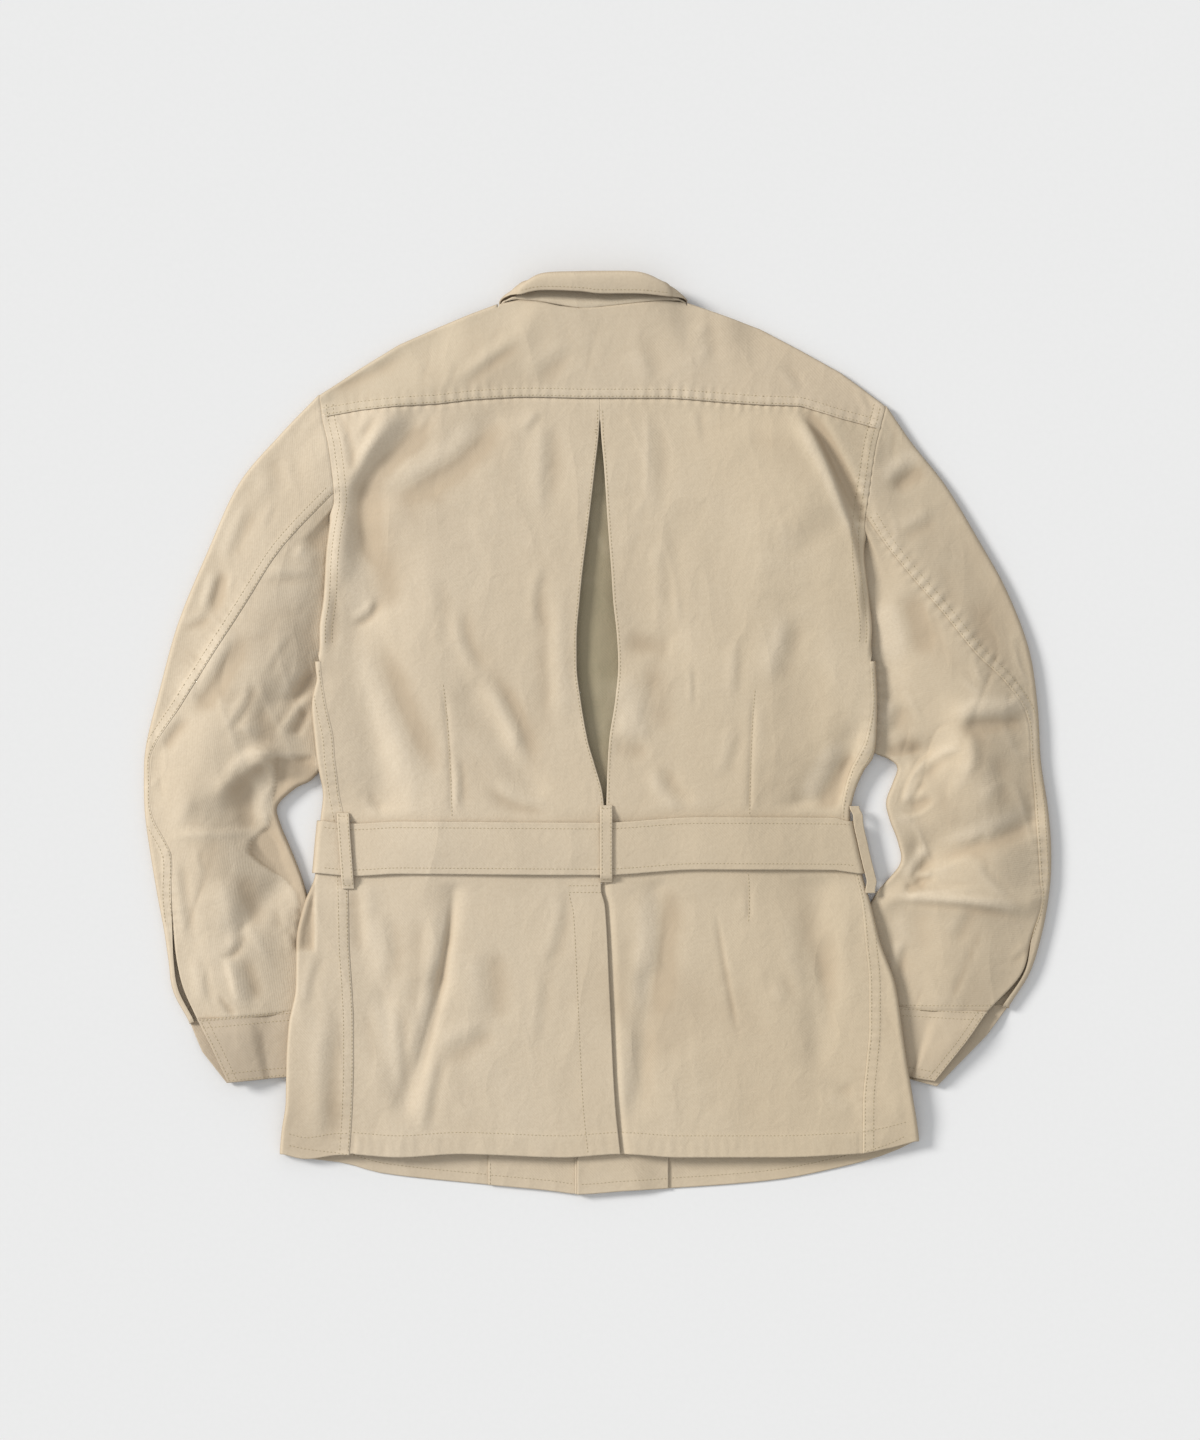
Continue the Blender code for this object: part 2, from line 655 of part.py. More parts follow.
def front_panel(side, look):
    """A front: from the side seam over the side fold, across the underside and past the centre."""
    name = SIDE_NAME[side]
    closing = CLOSING_LEFT_EDGE if side < 0 else CLOSING_RIGHT_EDGE
    facing = FACING_LEFT_EDGE if side < 0 else FACING_RIGHT_EDGE
    turns = np.linspace(0, math.pi, 5)
    grid = []
    for k, y in enumerate(row_ys(NECK_DROP, -380.0)):
        if y < UNDERARM:
            start = float(torso("fold_" + name, y)) - side * FOLD
            seam_x = float(torso(SEAM[side], y)) + side * GAP / 2
            row = []
            for share in FRONT_STRIP:
                x = mix(seam_x, start, share)
                level = front_row(k, x, 1)
                row.append((x, level, float(back_height(x, level))))
            for turn in turns:
                level = front_row(k, start, 1 - turn / math.pi)
                height = float(flat_height(start, level)) - FOLD * (1 - math.cos(turn))
                row.append((start + side * FOLD * math.sin(turn), level, height))
        else:
            row = [(math.nan,) * 3] * (len(FRONT_STRIP) + len(turns) - 1)
            for _ in range(4):
                start = float(through(ARMHOLE["y"], ARMHOLE[name], y)) - side * GAP
                y = front_row(k, start, 0)
            row.append(front_point(k, start, side))
        across = [mix(start, facing, share) for share in FRONT_SPAN]
        across += [mix(facing, closing, share) for share in FACING_SPAN]
        grid.append(row + [front_point(k, x, side) for x in across])
    grid = np.array(grid, dtype=float)
    sheet("front_" + name, grid if side < 0 else grid[:, ::-1], look)
    strip = grid[:, -1 - len(FACING_SPAN) :].copy()
    strip[..., 2] += LAP
    strip[:, -1, 0] += side * 2.0
    sheet("facing_" + name, strip if side < 0 else strip[:, ::-1], look)


def front_point(k, x, side):
    """A point of row k of a front on the underside."""
    y = front_row(k, x, 0)
    return (x, y, float(front_height(x, y)) + ride_over(side, x))


def ride_over(side, x):
    return 0.0 if side < 0 else float(RIDE_OVER * smooth((61 - x) / 30))


def front_row(k, x, on_top):
    """y of row k of a front at x. on_top is 1 on the strip that shows beside the back, and 0 underneath."""
    under = through(FRONT_HEM["x"], FRONT_HEM["under"], x)
    above = through(FRONT_HEM["x"], FRONT_HEM["top"], x)
    return float(row_ys(front_top(x), mix(under, above, on_top))[k])


def front_top(x):
    """The fronts' upper edge on the underside: the shoulder seams and the neckline between them."""
    shoulder = np.interp(x, YOKE["upper_x"], YOKE["top_y"]) - FOLD - YOKE_WRAP - 2 * GAP
    neckline = NECK_DROP + 50 * (np.abs(x) / NECK_HALF_WIDTH) ** 2
    return np.where(np.abs(x) < NECK_HALF_WIDTH, np.minimum(neckline, shoulder), shoulder)


# The y of the under sleeve's points along the armhole, which are also its columns' shares of the way
# across, and of the points along the armhole on the underside.
ARMHOLE_LEVELS = {-1: (213.7, 205, 190, 178, 150, 119, 92, 66), 1: (192.7, 178, 150, 119, 105, 92, 79, 66)}
UNDERSIDE_LEVELS = {
    -1: (299.8, 275, 258, 238, 208, 182, 156, 131, 108, 88, 66),
    1: (289.8, 266, 250, 232, 205, 180, 155, 130, 108, 88, 66),
}
TOP_COLUMNS = 5


def square_to(points, away_from):
    """For each point of a sleeve's edge, the level direction square to that edge and away from the
    other one."""
    along = np.gradient(points, axis=0)
    square = np.stack([along[:, 1], -along[:, 0]], axis=1)
    square /= np.linalg.norm(square, axis=1)[:, None]
    return square * np.sign(np.sum(square * (points - away_from), axis=1))[:, None]


def sleeve_section(side, row, first, outer, inner, outward, inward):
    """Two lists of points: the top sleeve from the back seam round the outer edge, and the under sleeve
    from the same seam over to the inner edge; both end at the hidden front seam. outward and inward are
    the ways the edges face."""
    seam = np.array([row["seam_x"], row["seam_y"]])
    length = np.linalg.norm(inner - outer)
    way = (inner - outer) / length
    outer_top, inner_top = outer - outward * row["outer_r"], inner - inward * row["inner_r"]
    to_seam = (seam - outer_top) / max(np.linalg.norm(seam - outer_top), 1e-6)
    from_seam = (inner_top - seam) / np.linalg.norm(inner_top - seam)
    seam_out = mix(seam - to_seam * GAP, outer_top + way * 0.8, row["open"])
    levels, lowest = ARMHOLE_LEVELS[side], UNDERSIDE_LEVELS[side]

    def raised(point):
        share = float(np.dot(point - outer, way) / length)
        radius = mix(row["outer_r"], row["inner_r"], share)
        bulge = smooth(share / 0.42) * smooth(((1 - share) * length - 16) / (0.42 * length))
        plain = CLOTH / 2 + 2 * radius + row["rise"] * bulge
        return (*point, plain + float(fold_relief(*point)) * smooth(min(share, 1 - share) / 0.2))

    def at_armhole(y):
        x, z = armhole_edge(side, y)
        return (x, y, z)

    bottom = []
    if first:
        top = [at_armhole(y) for y in np.linspace(seam[1] + GAP, outer_top[1], TOP_COLUMNS + 1)]
        under = [at_armhole(y) for y in levels[:-1]]
        under.append((*inner_top, CLOTH / 2 + 2 * row["inner_r"]))
        bottom.append((*outer_top, CLOTH / 2))
        for y in lowest[1:-1]:
            x = float(through(ARMHOLE["y"], ARMHOLE[SIDE_NAME[side]], y)) + side * 6 * GAP
            lift = 0.7 * float(floor_lift(x, y) * smooth((y - 80) / 30))
            bottom.append((x, y, CLOTH / 2 + lift))
        bottom.append((*inner_top, CLOTH / 2))
    else:
        top = [raised(mix(seam_out, outer_top, share)) for share in np.linspace(0, 1, TOP_COLUMNS + 1)]
        shares = [(levels[0] - y) / (levels[0] - levels[-1]) for y in levels]
        under = [raised(mix(seam + from_seam * GAP, inner_top, share)) for share in shares]
        for y in lowest:
            share = (lowest[0] - y) / (lowest[0] - lowest[-1])
            bottom.append((*mix(outer_top, inner_top, share), CLOTH / 2))
    split = round(FRONT_SEAM * (len(bottom) - 1))
    round_outer, round_inner = [], []
    for turn in np.linspace(0, math.pi, 5)[1:-1]:
        down = (1 - math.cos(turn)) / 2
        level = outer_top + outward * row["outer_r"] * math.sin(turn)
        round_outer.append((*level, mix(top[-1][2], bottom[0][2], down)))
        level = inner_top + inward * row["inner_r"] * math.sin(turn)
        round_inner.append((*level, mix(under[-1][2], bottom[-1][2], down)))
    top += round_outer + bottom[: split + 1]
    under += round_inner + bottom[split:][::-1]
    step = way * GAP / 2
    top[-1] = (*(np.array(top[-1][:2]) - step), top[-1][2])
    under[-1] = (*(np.array(under[-1][:2]) + step), under[-1][2])
    return top, under


def sleeve(side, rows, look):
    name = SIDE_NAME[side]
    outer = np.stack([rows["outer_x"], rows["outer_y"]], axis=1)
    inner = np.stack([rows["inner_x"], rows["inner_y"]], axis=1)
    outward, inward = square_to(outer, inner), square_to(inner, outer)
    outward[0] = (0.0, 1.0)
    tops, unders = [], []
    for i in range(len(outer)):
        row = {key: float(column[i]) for key, column in rows.items()}
        top, under = sleeve_section(side, row, i == 0, outer[i], inner[i], outward[i], inward[i])
        tops.append(top)
        unders.append(under)
    tops, unders = np.array(tops), np.array(unders)
    sheet(f"sleeve_{name}_top", tops if side > 0 else tops[:, ::-1], look)
    sheet(f"sleeve_{name}_under", unders if side < 0 else unders[:, ::-1], look)


def cuff(side, rows, look):
    """A cuff: its upper layer from the free end to the inner fold, round it, and the lower layer out to
    its end."""
    name = SIDE_NAME[side]
    grid = []
    for i in range(len(rows["rise"])):
        row = {key: float(column[i]) for key, column in rows.items()}
        lower = np.array([row["lower_x"], row["lower_y"]])
        upper = np.array([row["upper_x"], row["upper_y"]])
        inner = np.array([row["inner_x"], row["inner_y"]])
        way = (inner - upper) / np.linalg.norm(inner - upper)
        down = np.array([0, -0.5]) if i == 0 else np.zeros(2)
        centre = inner - way * CUFF_FOLD
        section = []
        for share in CUFF_UPPER:
            bulge = smooth(((1 - share) * np.linalg.norm(upper - centre) - 36) / 28)
            height = DOUBLE / 2 + 2 * CUFF_FOLD + row["rise"] * bulge
            section.append((*(mix(upper, centre, share) + down), height))
        for turn in np.linspace(0, math.pi, 5)[1:-1]:
            level = centre + way * CUFF_FOLD * math.sin(turn) + down
            section.append((*level, DOUBLE / 2 + CUFF_FOLD * (1 + math.cos(turn))))
        for share in CUFF_LOWER:
            section.append((*(mix(centre, lower, share) + down), DOUBLE / 2))
        grid.append(section)
    grid = np.array(grid)
    finer = []
    for a, b in zip(grid[:-1], grid[1:]):
        finer += [a, mix(a, b, 0.5)]
    finer.append(grid[-1])
    grid = np.array(finer)
    below = np.linspace(0, 1, len(grid))[:, None]
    out_along = np.concatenate((1 - CUFF_UPPER, [0, 0, 0], CUFF_LOWER))
    grid[..., 2] += CUFF_LIFT * smooth(below / 0.35) * smooth((out_along - 0.46) / 0.12)
    sheet(f"cuff_{name}", grid if side < 0 else grid[:, ::-1], look, DOUBLE)


def unit(vector):
    return vector / np.linalg.norm(vector)


def collar(look):
    """The stand and the fall of the collar, as two sheets that meet at the start of the roll."""
    seams, rolls, edges, bulges = (
        np.stack([COLLAR[f"{part}_{axis}"] for axis in "xyz"], axis=1)
        for part in ("seam", "roll", "edge", "bulge")
    )
    along = np.gradient(rolls, axis=0)
    stand, fall = [], []
    for seam, roll, edge, bulge, line in zip(seams, rolls, edges, bulges, along):
        up = unit(roll - seam)
        over = unit(np.cross(line, up))
        off = unit(edge - roll + 4 * bulge)
        turn = math.atan2(float(np.dot(off, over)), float(np.dot(off, up))) % (2 * math.pi)
        radius = ROLL_RADIUS + 1.3 * smooth((roll[1] - 385) / 15)
        clear = 2 * GAP + ROLL_CLEARANCE * (1 - abs(float(over[2])))
        stand.append([mix(seam, roll, share) for share in (0, 0.33, 0.66)] + [roll - up * clear])
        arc = [
            roll + over * radius * (1 - math.cos(angle)) + up * radius * math.sin(angle)
            for angle in np.linspace(clear / radius, turn, 5)
        ]
        shares = np.linspace(0, 1, 6)[1:]
        spread = [mix(arc[-1], edge, share) + bulge * 4 * share * (1 - share) for share in shares]
        fall.append(arc + spread)
    sheet("collar_stand", np.array(stand), look, COLLAR_WALL)
    sheet("collar_fall", np.array(fall), look, COLLAR_WALL)


def belt_points(x, offset):
    """A row across the belt where it lies on the back."""
    y = belt_line(x) + offset
    return (x, y, float(flat_height(x, y)) + BELT_LAYER)


def belt(look):
    """The belt: from the buckle under the fronts, round the left side, over the back, round the right
    side and back under the fronts, where its tongue lies on the buckle."""
    across = np.array((-BELT_WIDTH / 2, 0.0, BELT_WIDTH / 2))
    low = DOUBLE / 2

    def level(x, height):
        return [(x, float(belt_line(x)) + off, height) for off in across]

    def turn(side, shares):
        """Round a side of the body: a share of 0 is on the back and 1 is underneath."""
        rows = []
        for share in shares:
            row = []
            for y in belt_line(side * 250.0) + across:
                turn_x = float(torso("fold_" + SIDE_NAME[side], y)) - side * FOLD
                top = float(flat_height(turn_x, y)) + BELT_LAYER
                height = mix(top, low, (1 - math.cos(math.pi * share)) / 2)
                row.append((turn_x + side * BELT_TURN * math.sin(math.pi * share), y, height))
            rows.append(row)
        return rows

    grid = [level(x, low) for x in (-BUCKLE_HALF - 2 * GAP, -60.0, -100.0, -140.0, -180.0, -215.0)]
    grid += turn(-1, np.linspace(1, 0, 7))
    for x in (-240, -234, -227, -218, *np.linspace(-205, 190, 19), 198, 206, 213):
        grid.append([belt_points(float(x), off) for off in across])
    grid += turn(1, np.linspace(0, 1, 7))
    for x in (190.0, 150.0, 110.0, 84.0, 68.0, 52.0):
        grid.append(level(x, low + TONGUE_RISE * smooth((84 - x) / 30)))
    grid += [level(x, low + TONGUE_RISE) for x in (20.0, -20.0, -56.0)]
    sheet("belt", np.array(grid, dtype=float), look, DOUBLE)


def buckle(look):
    """A plain rectangular buckle under the fronts, open round its bar."""
    half_x, half_y, frame = BUCKLE_HALF, BELT_WIDTH / 2 + 5.0, BUCKLE_FRAME
    middle_y = float(belt_line(0.0))
    outline = []
    corners = ((-1, -1), (1, -1), (1, 1), (-1, 1))
    for inset in (0.0, frame):
        outline += [(sx * (half_x - inset), sy * (half_y - inset)) for sx, sy in corners]
    points = [(x * MM, (middle_y + y) * MM, z * MM) for z in (0.0, BUCKLE_THICKNESS) for x, y in outline]
    faces = []
    for k in range(4):
        n = (k + 1) % 4
        faces += [(8 + k, 8 + n, 12 + n, 12 + k), (k, 4 + k, 4 + n, n)]
        faces += [(k, n, 8 + n, 8 + k), (4 + k, 12 + k, 12 + n, 4 + n)]
    mesh = bpy.data.meshes.new("belt_buckle")
    mesh.from_pydata(points, [], faces)
    made = finish_object("belt_buckle", mesh, look)
    mesh.set_sharp_from_angle(angle=math.radians(30))
    return made


def disc(name, place, radius, thickness, look, sides=20):
    """A button, lying level on the middle of its lower face."""
    x, y, z = place
    points, faces = [], []
    for height in (z, z + thickness):
        for k in range(sides):
            angle = 2 * math.pi * k / sides
            at = (x + radius * math.cos(angle), y + radius * math.sin(angle), height)
            points.append(tuple(value * MM for value in at))
    for k in range(sides):
        n = (k + 1) % sides
        faces.append((k, n, sides + n, sides + k))
    faces += [tuple(range(sides))[::-1], tuple(range(sides, 2 * sides))]
    mesh = bpy.data.meshes.new(name)
    mesh.from_pydata(points, [], faces)
    made = finish_object(name, mesh, look)
    mesh.set_sharp_from_angle(angle=math.radians(30))
    return made


def belt_loops(look):
    """The loops: one on each side seam and one at the centre, each sewn to the back above and below the
    belt."""
    for name, x_top, y_top, x_bottom, y_bottom in zip(("left", "centre"), *list(LOOPS.values())[1:]):
        belt_top = float(belt_line(x_top)) + BELT_WIDTH / 2 + 1
        belt_bottom = belt_top - BELT_WIDTH - 2
        levels = [y_top, mix(y_top, belt_top, 0.45), *np.linspace(belt_top, belt_bottom, 5)]
        levels += [mix(belt_bottom, y_bottom, 0.55), y_bottom]
        grid = []
        for y in levels:
            over = smooth((y_top - y) / (y_top - belt_top))
            over *= smooth((y - y_bottom) / (belt_bottom - y_bottom))
            x = mix(x_top, x_bottom, (y_top - y) / (y_top - y_bottom))
            row = []
            for off in (-LOOP_WIDTH / 2, 0.0, LOOP_WIDTH / 2):
                on_cloth = float(back_height(x + off, y)) + CLOTH + GAP
                on_belt = float(flat_height(x + off, y)) + BELT_LAYER + DOUBLE / 2 + 2 * GAP + CLOTH / 2
                row.append((x + off, y, mix(on_cloth, on_belt, over)))
            grid.append(row)
        sheet(f"belt_loop_{name}", np.array(grid)[:, ::-1], look)
    right_loop(look)


def right_loop(look):
    """The right loop stands on its edge outside the belt's turn, as the jacket's right side has rolled
    over."""
    grid = []
    top, bottom = -66.0, -144.0
    for share in np.linspace(0, 1, 11):
        y = mix(top, bottom, share)
        stand = RIGHT_LOOP_STAND * smooth(share / 0.12) * smooth((1 - share) / 0.16)
        edge = float(torso("fold_right", y)) + CLOTH + GAP
        middle_z = float(flat_height(float(torso("fold_right", y)) - FOLD, y)) - FOLD
        grid.append([(edge + stand + 0.6 * k, y, middle_z + 1.5 + 4.0 * k) for k in (0, 1, 2)])
    sheet("belt_loop_right", np.array(grid), look)


def buttons(look):
    for number, y in enumerate(FRONT_BUTTONS, 1):
        disc(f"front_button_{number}", (0.0, y, 0.1), BUTTON_RADIUS, BUTTON_THICKNESS, look)
    for name, x, y in (("left", -338.0, -289.0), ("right", 322.0, -282.0)):
        disc(f"cuff_button_{name}", (x, y, 0.1), CUFF_BUTTON_RADIUS, CUFF_BUTTON_THICKNESS, look)


def main():
    for old in list(bpy.data.objects):
        bpy.data.objects.remove(old, do_unlink=True)
    cotton = material("khaki_cotton", (0.60, 0.51, 0.36), 0.9)
    back_yoke(cotton)
    back_halves(cotton)
    back_pleat(cotton)
    front_panel(-1, cotton)
    front_panel(1, cotton)
    sleeve(-1, LEFT_SLEEVE, cotton)
    sleeve(1, RIGHT_SLEEVE, cotton)
    cuff(-1, LEFT_CUFF, cotton)
    cuff(1, RIGHT_CUFF, cotton)
    collar(cotton)
    belt(cotton)
    belt_loops(cotton)
    buckle(material("plated_steel", (0.62, 0.60, 0.56), 0.35, 1.0))
    buttons(material("urea_button", (0.26, 0.19, 0.12), 0.4))


main()
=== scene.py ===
"""The looks of a bush jacket of khaki cotton, laid on its front with its back up.

Thin cloth lies on the frame's solids, with its creases, felled seams, stitches, small fittings and
materials. Lengths in the tables are in millimetres: x runs to the right as seen from above, y toward the
collar and z up, with the floor at z = 0. Left and right are the wearer's, which are also the viewer's.
"""

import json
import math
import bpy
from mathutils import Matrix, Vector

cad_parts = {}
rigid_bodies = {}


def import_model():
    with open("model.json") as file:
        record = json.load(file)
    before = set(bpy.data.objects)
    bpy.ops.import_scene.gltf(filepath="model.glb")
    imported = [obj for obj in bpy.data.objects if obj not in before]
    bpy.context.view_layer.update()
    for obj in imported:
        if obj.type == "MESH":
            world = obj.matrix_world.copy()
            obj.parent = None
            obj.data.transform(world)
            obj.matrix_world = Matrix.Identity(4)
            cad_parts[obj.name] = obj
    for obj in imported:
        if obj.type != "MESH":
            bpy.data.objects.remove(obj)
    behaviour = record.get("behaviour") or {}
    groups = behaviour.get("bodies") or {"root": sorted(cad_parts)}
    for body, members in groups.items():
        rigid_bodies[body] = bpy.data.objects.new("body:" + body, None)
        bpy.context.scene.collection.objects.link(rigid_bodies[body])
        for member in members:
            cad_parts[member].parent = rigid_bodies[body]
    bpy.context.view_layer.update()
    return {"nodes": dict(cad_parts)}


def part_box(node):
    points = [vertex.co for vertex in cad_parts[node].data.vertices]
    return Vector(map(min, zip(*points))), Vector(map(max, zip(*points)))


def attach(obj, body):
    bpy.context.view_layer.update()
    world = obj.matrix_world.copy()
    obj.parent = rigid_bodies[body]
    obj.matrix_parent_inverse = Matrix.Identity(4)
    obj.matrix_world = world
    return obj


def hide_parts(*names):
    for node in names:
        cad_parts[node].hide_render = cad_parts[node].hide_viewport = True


bl_info = {
    "name": "Bush jacket",
    "version": (1, 0, 0),
    "blender": (4, 5, 0),
    "location": "3D View > Sidebar > Jacket",
    "description": "Builds the cloth, stitching and fittings of a bush jacket laid on its front",
    "category": "Object",
}

import bpy
import numpy as np
from bpy.props import FloatProperty, FloatVectorProperty, PointerProperty
from mathutils import Vector
from mathutils.bvhtree import BVHTree

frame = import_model()

MM = 0.001
BODY = "root"

CLOTH = 1.2  # wall of one layer
DOUBLE = 2.2  # wall of the cuffs and the belt, which are two layers turned and pressed
GAP = 0.3  # between neighbouring pieces at a seam
LAP = 1.6  # from the middle of a layer to the middle of the next one lying on it
FOLD = 3.2  # radius of the side and shoulder folds, to the middle of the wall
SIDE_SHELF = 35.0  # how far in from a side fold the fronts stay fully up over a sleeve
SIDE_FALL = 60.0  # how much further in they have come down again
ARM_FALL = 35.0  # the same beside the armhole, where there is no shelf
SWELL_REACH = 110.0  # how far in from a side fold the back goes on rising
SHOULDER_REACH = 60.0  # the same, down from the shoulder fold

BELT_WIDTH = 47.0
BELT_LAYER = CLOTH / 2 + 0.4 + DOUBLE / 2  # from the middle of the back's wall to the middle of the belt's
BELT_ROOM = 3.0  # how far the belt lifts the fronts
BUCKLE_ROOM = 5.2  # how far its buckle lifts them
BUCKLE_REACH = 70.0  # how far from the centre it still lifts them fully
BUTTON_ROOM = 3.2  # how far the front buttons lift them
COLLAR_ROOM = 5.0  # how far the collar lifts them

YOKE_WRAP = 25.0  # the shoulder seam lies this far under the shoulder fold
NECK_HALF_WIDTH = 88.0
NECK_DROP = 300.0  # y of the front neckline at the centre
CLOSING_LEFT_EDGE = 24.0  # x of the left front's edge, which passes the centre under the right front
CLOSING_RIGHT_EDGE = -21.0
FACING_LEFT_EDGE = -99.0
FACING_RIGHT_EDGE = 63.0
RIDE_OVER = 3.4  # the right front lies this far above the left front and its facing
PLEAT_DEPTH = 30.0  # how far the pleat goes back under each edge of its opening
UNDERLAP = 35.0  # how far the vent's lower layer goes under its flap

# Sections across the body, from the hem up. A fold is the jacket's own edge, and a seam is the edge of
# the back. Above the underarm the fold columns only say where the back starts to rise, and the seam
# columns are the armholes.
TORSO = """
   y  fold_left  seam_left  seam_right  fold_right  lift_left  lift_right  rise
-378     -286.0     -223.0       237.0       287.5        0.5         0.5   4.0
-358     -284.0     -221.5       237.0       285.5        4.0         4.0   4.5
-331     -280.0     -220.0       237.0       282.0        7.5         7.5   5.5
-295     -279.5     -219.0       240.0       276.0        7.5         7.5   7.0
-263     -277.5     -219.0       242.5       271.5        7.5         7.5   8.0
-227     -271.0     -220.5       242.5       266.0        7.5         7.5   9.0
-187     -270.5     -223.0       239.0       252.0        7.5         7.5   9.5
-155     -264.0     -223.5       236.0       244.0        7.0         6.0   9.5
-128     -254.0     -224.5       230.0       236.5        4.0         3.0  11.0
-101     -251.5     -226.0       223.5       230.0        3.0         3.0  12.0
 -76     -249.0     -228.0       217.5       225.5        2.0         2.0  12.0
 -56     -247.0     -232.0       220.0       229.0        3.0         2.0  11.5
 -34     -250.5     -234.5       226.0       238.0        6.5         3.0  11.0
 -22     -252.5     -236.0       232.0       246.0        7.5         5.0  11.0
  -7     -254.0     -237.0       239.0       248.5        7.5         7.5  11.0
  29     -257.0     -244.5       244.5       249.5        7.5         8.0  11.5
  64     -254.5     -249.0       243.0       247.5        7.5         8.0  12.0
  92     -250.0     -250.0       245.0       245.0        7.0         8.0  12.0
 119     -246.5     -246.5       242.5       242.5        6.5         7.5  12.0
 160     -250.0     -244.0       238.0       244.0        6.0         7.0  12.0
 178     -261.0     -242.0       238.0       257.0        5.0         6.0  12.0
 190     -273.0     -240.0       239.0       273.0        4.0         4.0  12.0
 209     -290.0     -237.0       241.5       290.0        0.0         0.0  12.0
 254     -300.0     -241.5       248.0       305.0        0.0         0.0  12.0
 283     -300.0     -248.0       255.5       305.0        0.0         0.0  12.0
 303     -300.0     -250.5       261.0       305.0        0.0         0.0  12.0
"""
SEAM = {-1: "seam_left", 1: "seam_right"}
SIDE_NAME = {-1: "left", 1: "right"}
UNDERARM = 65.0  # y of the underarm point: the fronts turn over the sides below it
CURL_TOP = {-1: 207.0, 1: 187.0}  # y where the back starts to turn under beside each armhole
CURL_RUN = 28.0  # it has turned fully this much lower, and as much above the underarm point

# The lower edges, by x. The back's hem hangs 10 to 35 above the fronts' own.
BACK_HEM = """
   x     y
-224  -378
-179  -381
-125  -378
 -30  -381
  19  -378
  73  -381
 160  -381
 237  -378
"""
FRONT_HEM = """
   x  under   top
-286   -378  -378
-262   -383  -383
-230   -387  -379
-197   -396  -381
-107   -406  -384
 -44   -412  -385
 -19   -415  -385
  24   -412  -385
  64   -410  -384
 154   -403  -382
 226   -389  -379
 262   -378  -373
 287   -366  -366
"""

# The edges of the pleat's opening, and below it the edge of the vent's flap.
PLEAT = """
   y   left  right
 292    1.2    1.6
 277    0.9    1.8
 236   -3.2    5.0
 182   -9.5    8.6
 146  -14.0   11.3
 119  -16.7   13.0
  83  -19.4   16.7
  61  -19.4   17.6
  29  -15.8   14.9
  -7   -9.5    9.5
 -29   -3.2    8.1
 -56    4.0    7.2
 -80    6.0    6.6
-140    2.5    2.5
-155    6.0    6.0
-241   10.5   10.5
-331   15.0   15.0
-380   20.0   20.0
"""
PLEAT_TOP, PLEAT_BOTTOM = 288.0, -72.0  # the ends of the insert behind the opening
FLAP_TOP = -88.0  # below this the left back lies on the right back

# The yoke, from left to right: its seam, the shoulder fold or neck seam above it, and the line where
# its height would come down to the fold's.
YOKE = """
lower_x  seam_y  upper_x  top_y  fall_y
 -247.9   283.0   -250.1    303     303
 -215.0   288.5   -215.0    326     326
 -179.0   292.0   -179.0    348     348
 -143.0   294.0   -143.0    364     364
 -115.0   297.5   -115.0    375     375
  -91.0   299.0    -91.0    384     386
  -71.0   300.0    -71.0    388     405
  -53.0   300.0    -53.0    386     430
  -35.0   299.5    -35.0    382     440
  -17.0   299.0    -17.0    380     440
    1.0   299.0      1.0    381     440
   37.0   299.0     37.0    385     440
   62.0   299.0     62.0    387     415
   80.0   298.0     80.0    385     390
  109.0   295.5    109.0    375     375
  145.0   293.0    145.0    362     362
  181.0   292.0    181.0    343     343
  217.0   281.0    217.0    323     323
  236.0   276.5    239.0    307     307
  252.5   272.0    257.3    293     293
"""

# The armholes on the underside, where each front meets its sleeve.
ARMHOLE = """
  y   left  right
 65 -249.0  244.0
100 -228.0  223.0
150 -214.0  210.0
209 -219.0  218.0
240 -231.0  239.0
262 -245.0  255.5
266 -247.0  257.4
275 -250.3  257.8
310 -251.0  258.5
"""

# The step down from the full right back to the cloth beside its armhole.
RIDGE = """
  y      x
140  241.0
178  233.0
209  222.0
241  210.0
266  199.0
280  188.0
292  177.0
"""
RIDGE_STEP = 6.0  # height of the step
RIDGE_WIDTH = 8.0  # from its foot to its top
RIDGE_FADE = 120.0  # how far in from it the back comes down again

# The largest folds: each a soft ridge, or a trough where its height is negative, from one point to another.
FOLDS = """
start_x start_y  end_x  end_y  width  height
   -192     277   -223    227     12     3.5
   -223     227   -233    150     12     3.5
   -165     286   -222    212     16    -4.0
   -222     205   -206    110     18    -4.0
    -98     281   -197    209     14    -3.0
   -219      97   -192    -66     16    -3.0
   -112      29    -62    -45     13    -2.5
   -129    -135   -143   -223      9    -3.0
   -143    -223   -172   -330      9    -3.0
   -192    -241   -179   -322     10    -2.0
     42     100     60     84     20    -3.0
    226      -7    181    -68     13    -4.0
     51    -135     42   -223     10    -2.5
     42    -223     33   -331     10    -2.5
    197    -135    197   -286     13    -2.0
   -332     -47   -300    -23     10     5.0
   -300     -23   -262    -38     10     5.0
   -345     -75   -300   -100     14    -5.0
   -290      28   -262     45     12    -4.0
   -320    -170   -290   -140     13    -4.0
    262     -25    292    -18     10    -5.0
    325      10    336    -28     11     4.0
    275     -22    300    -60     14     4.0
    290    -108    392    -75     15    -5.0
    262    -148    392    -154     12     4.0
    250     150    262     40     16    -3.0
"""

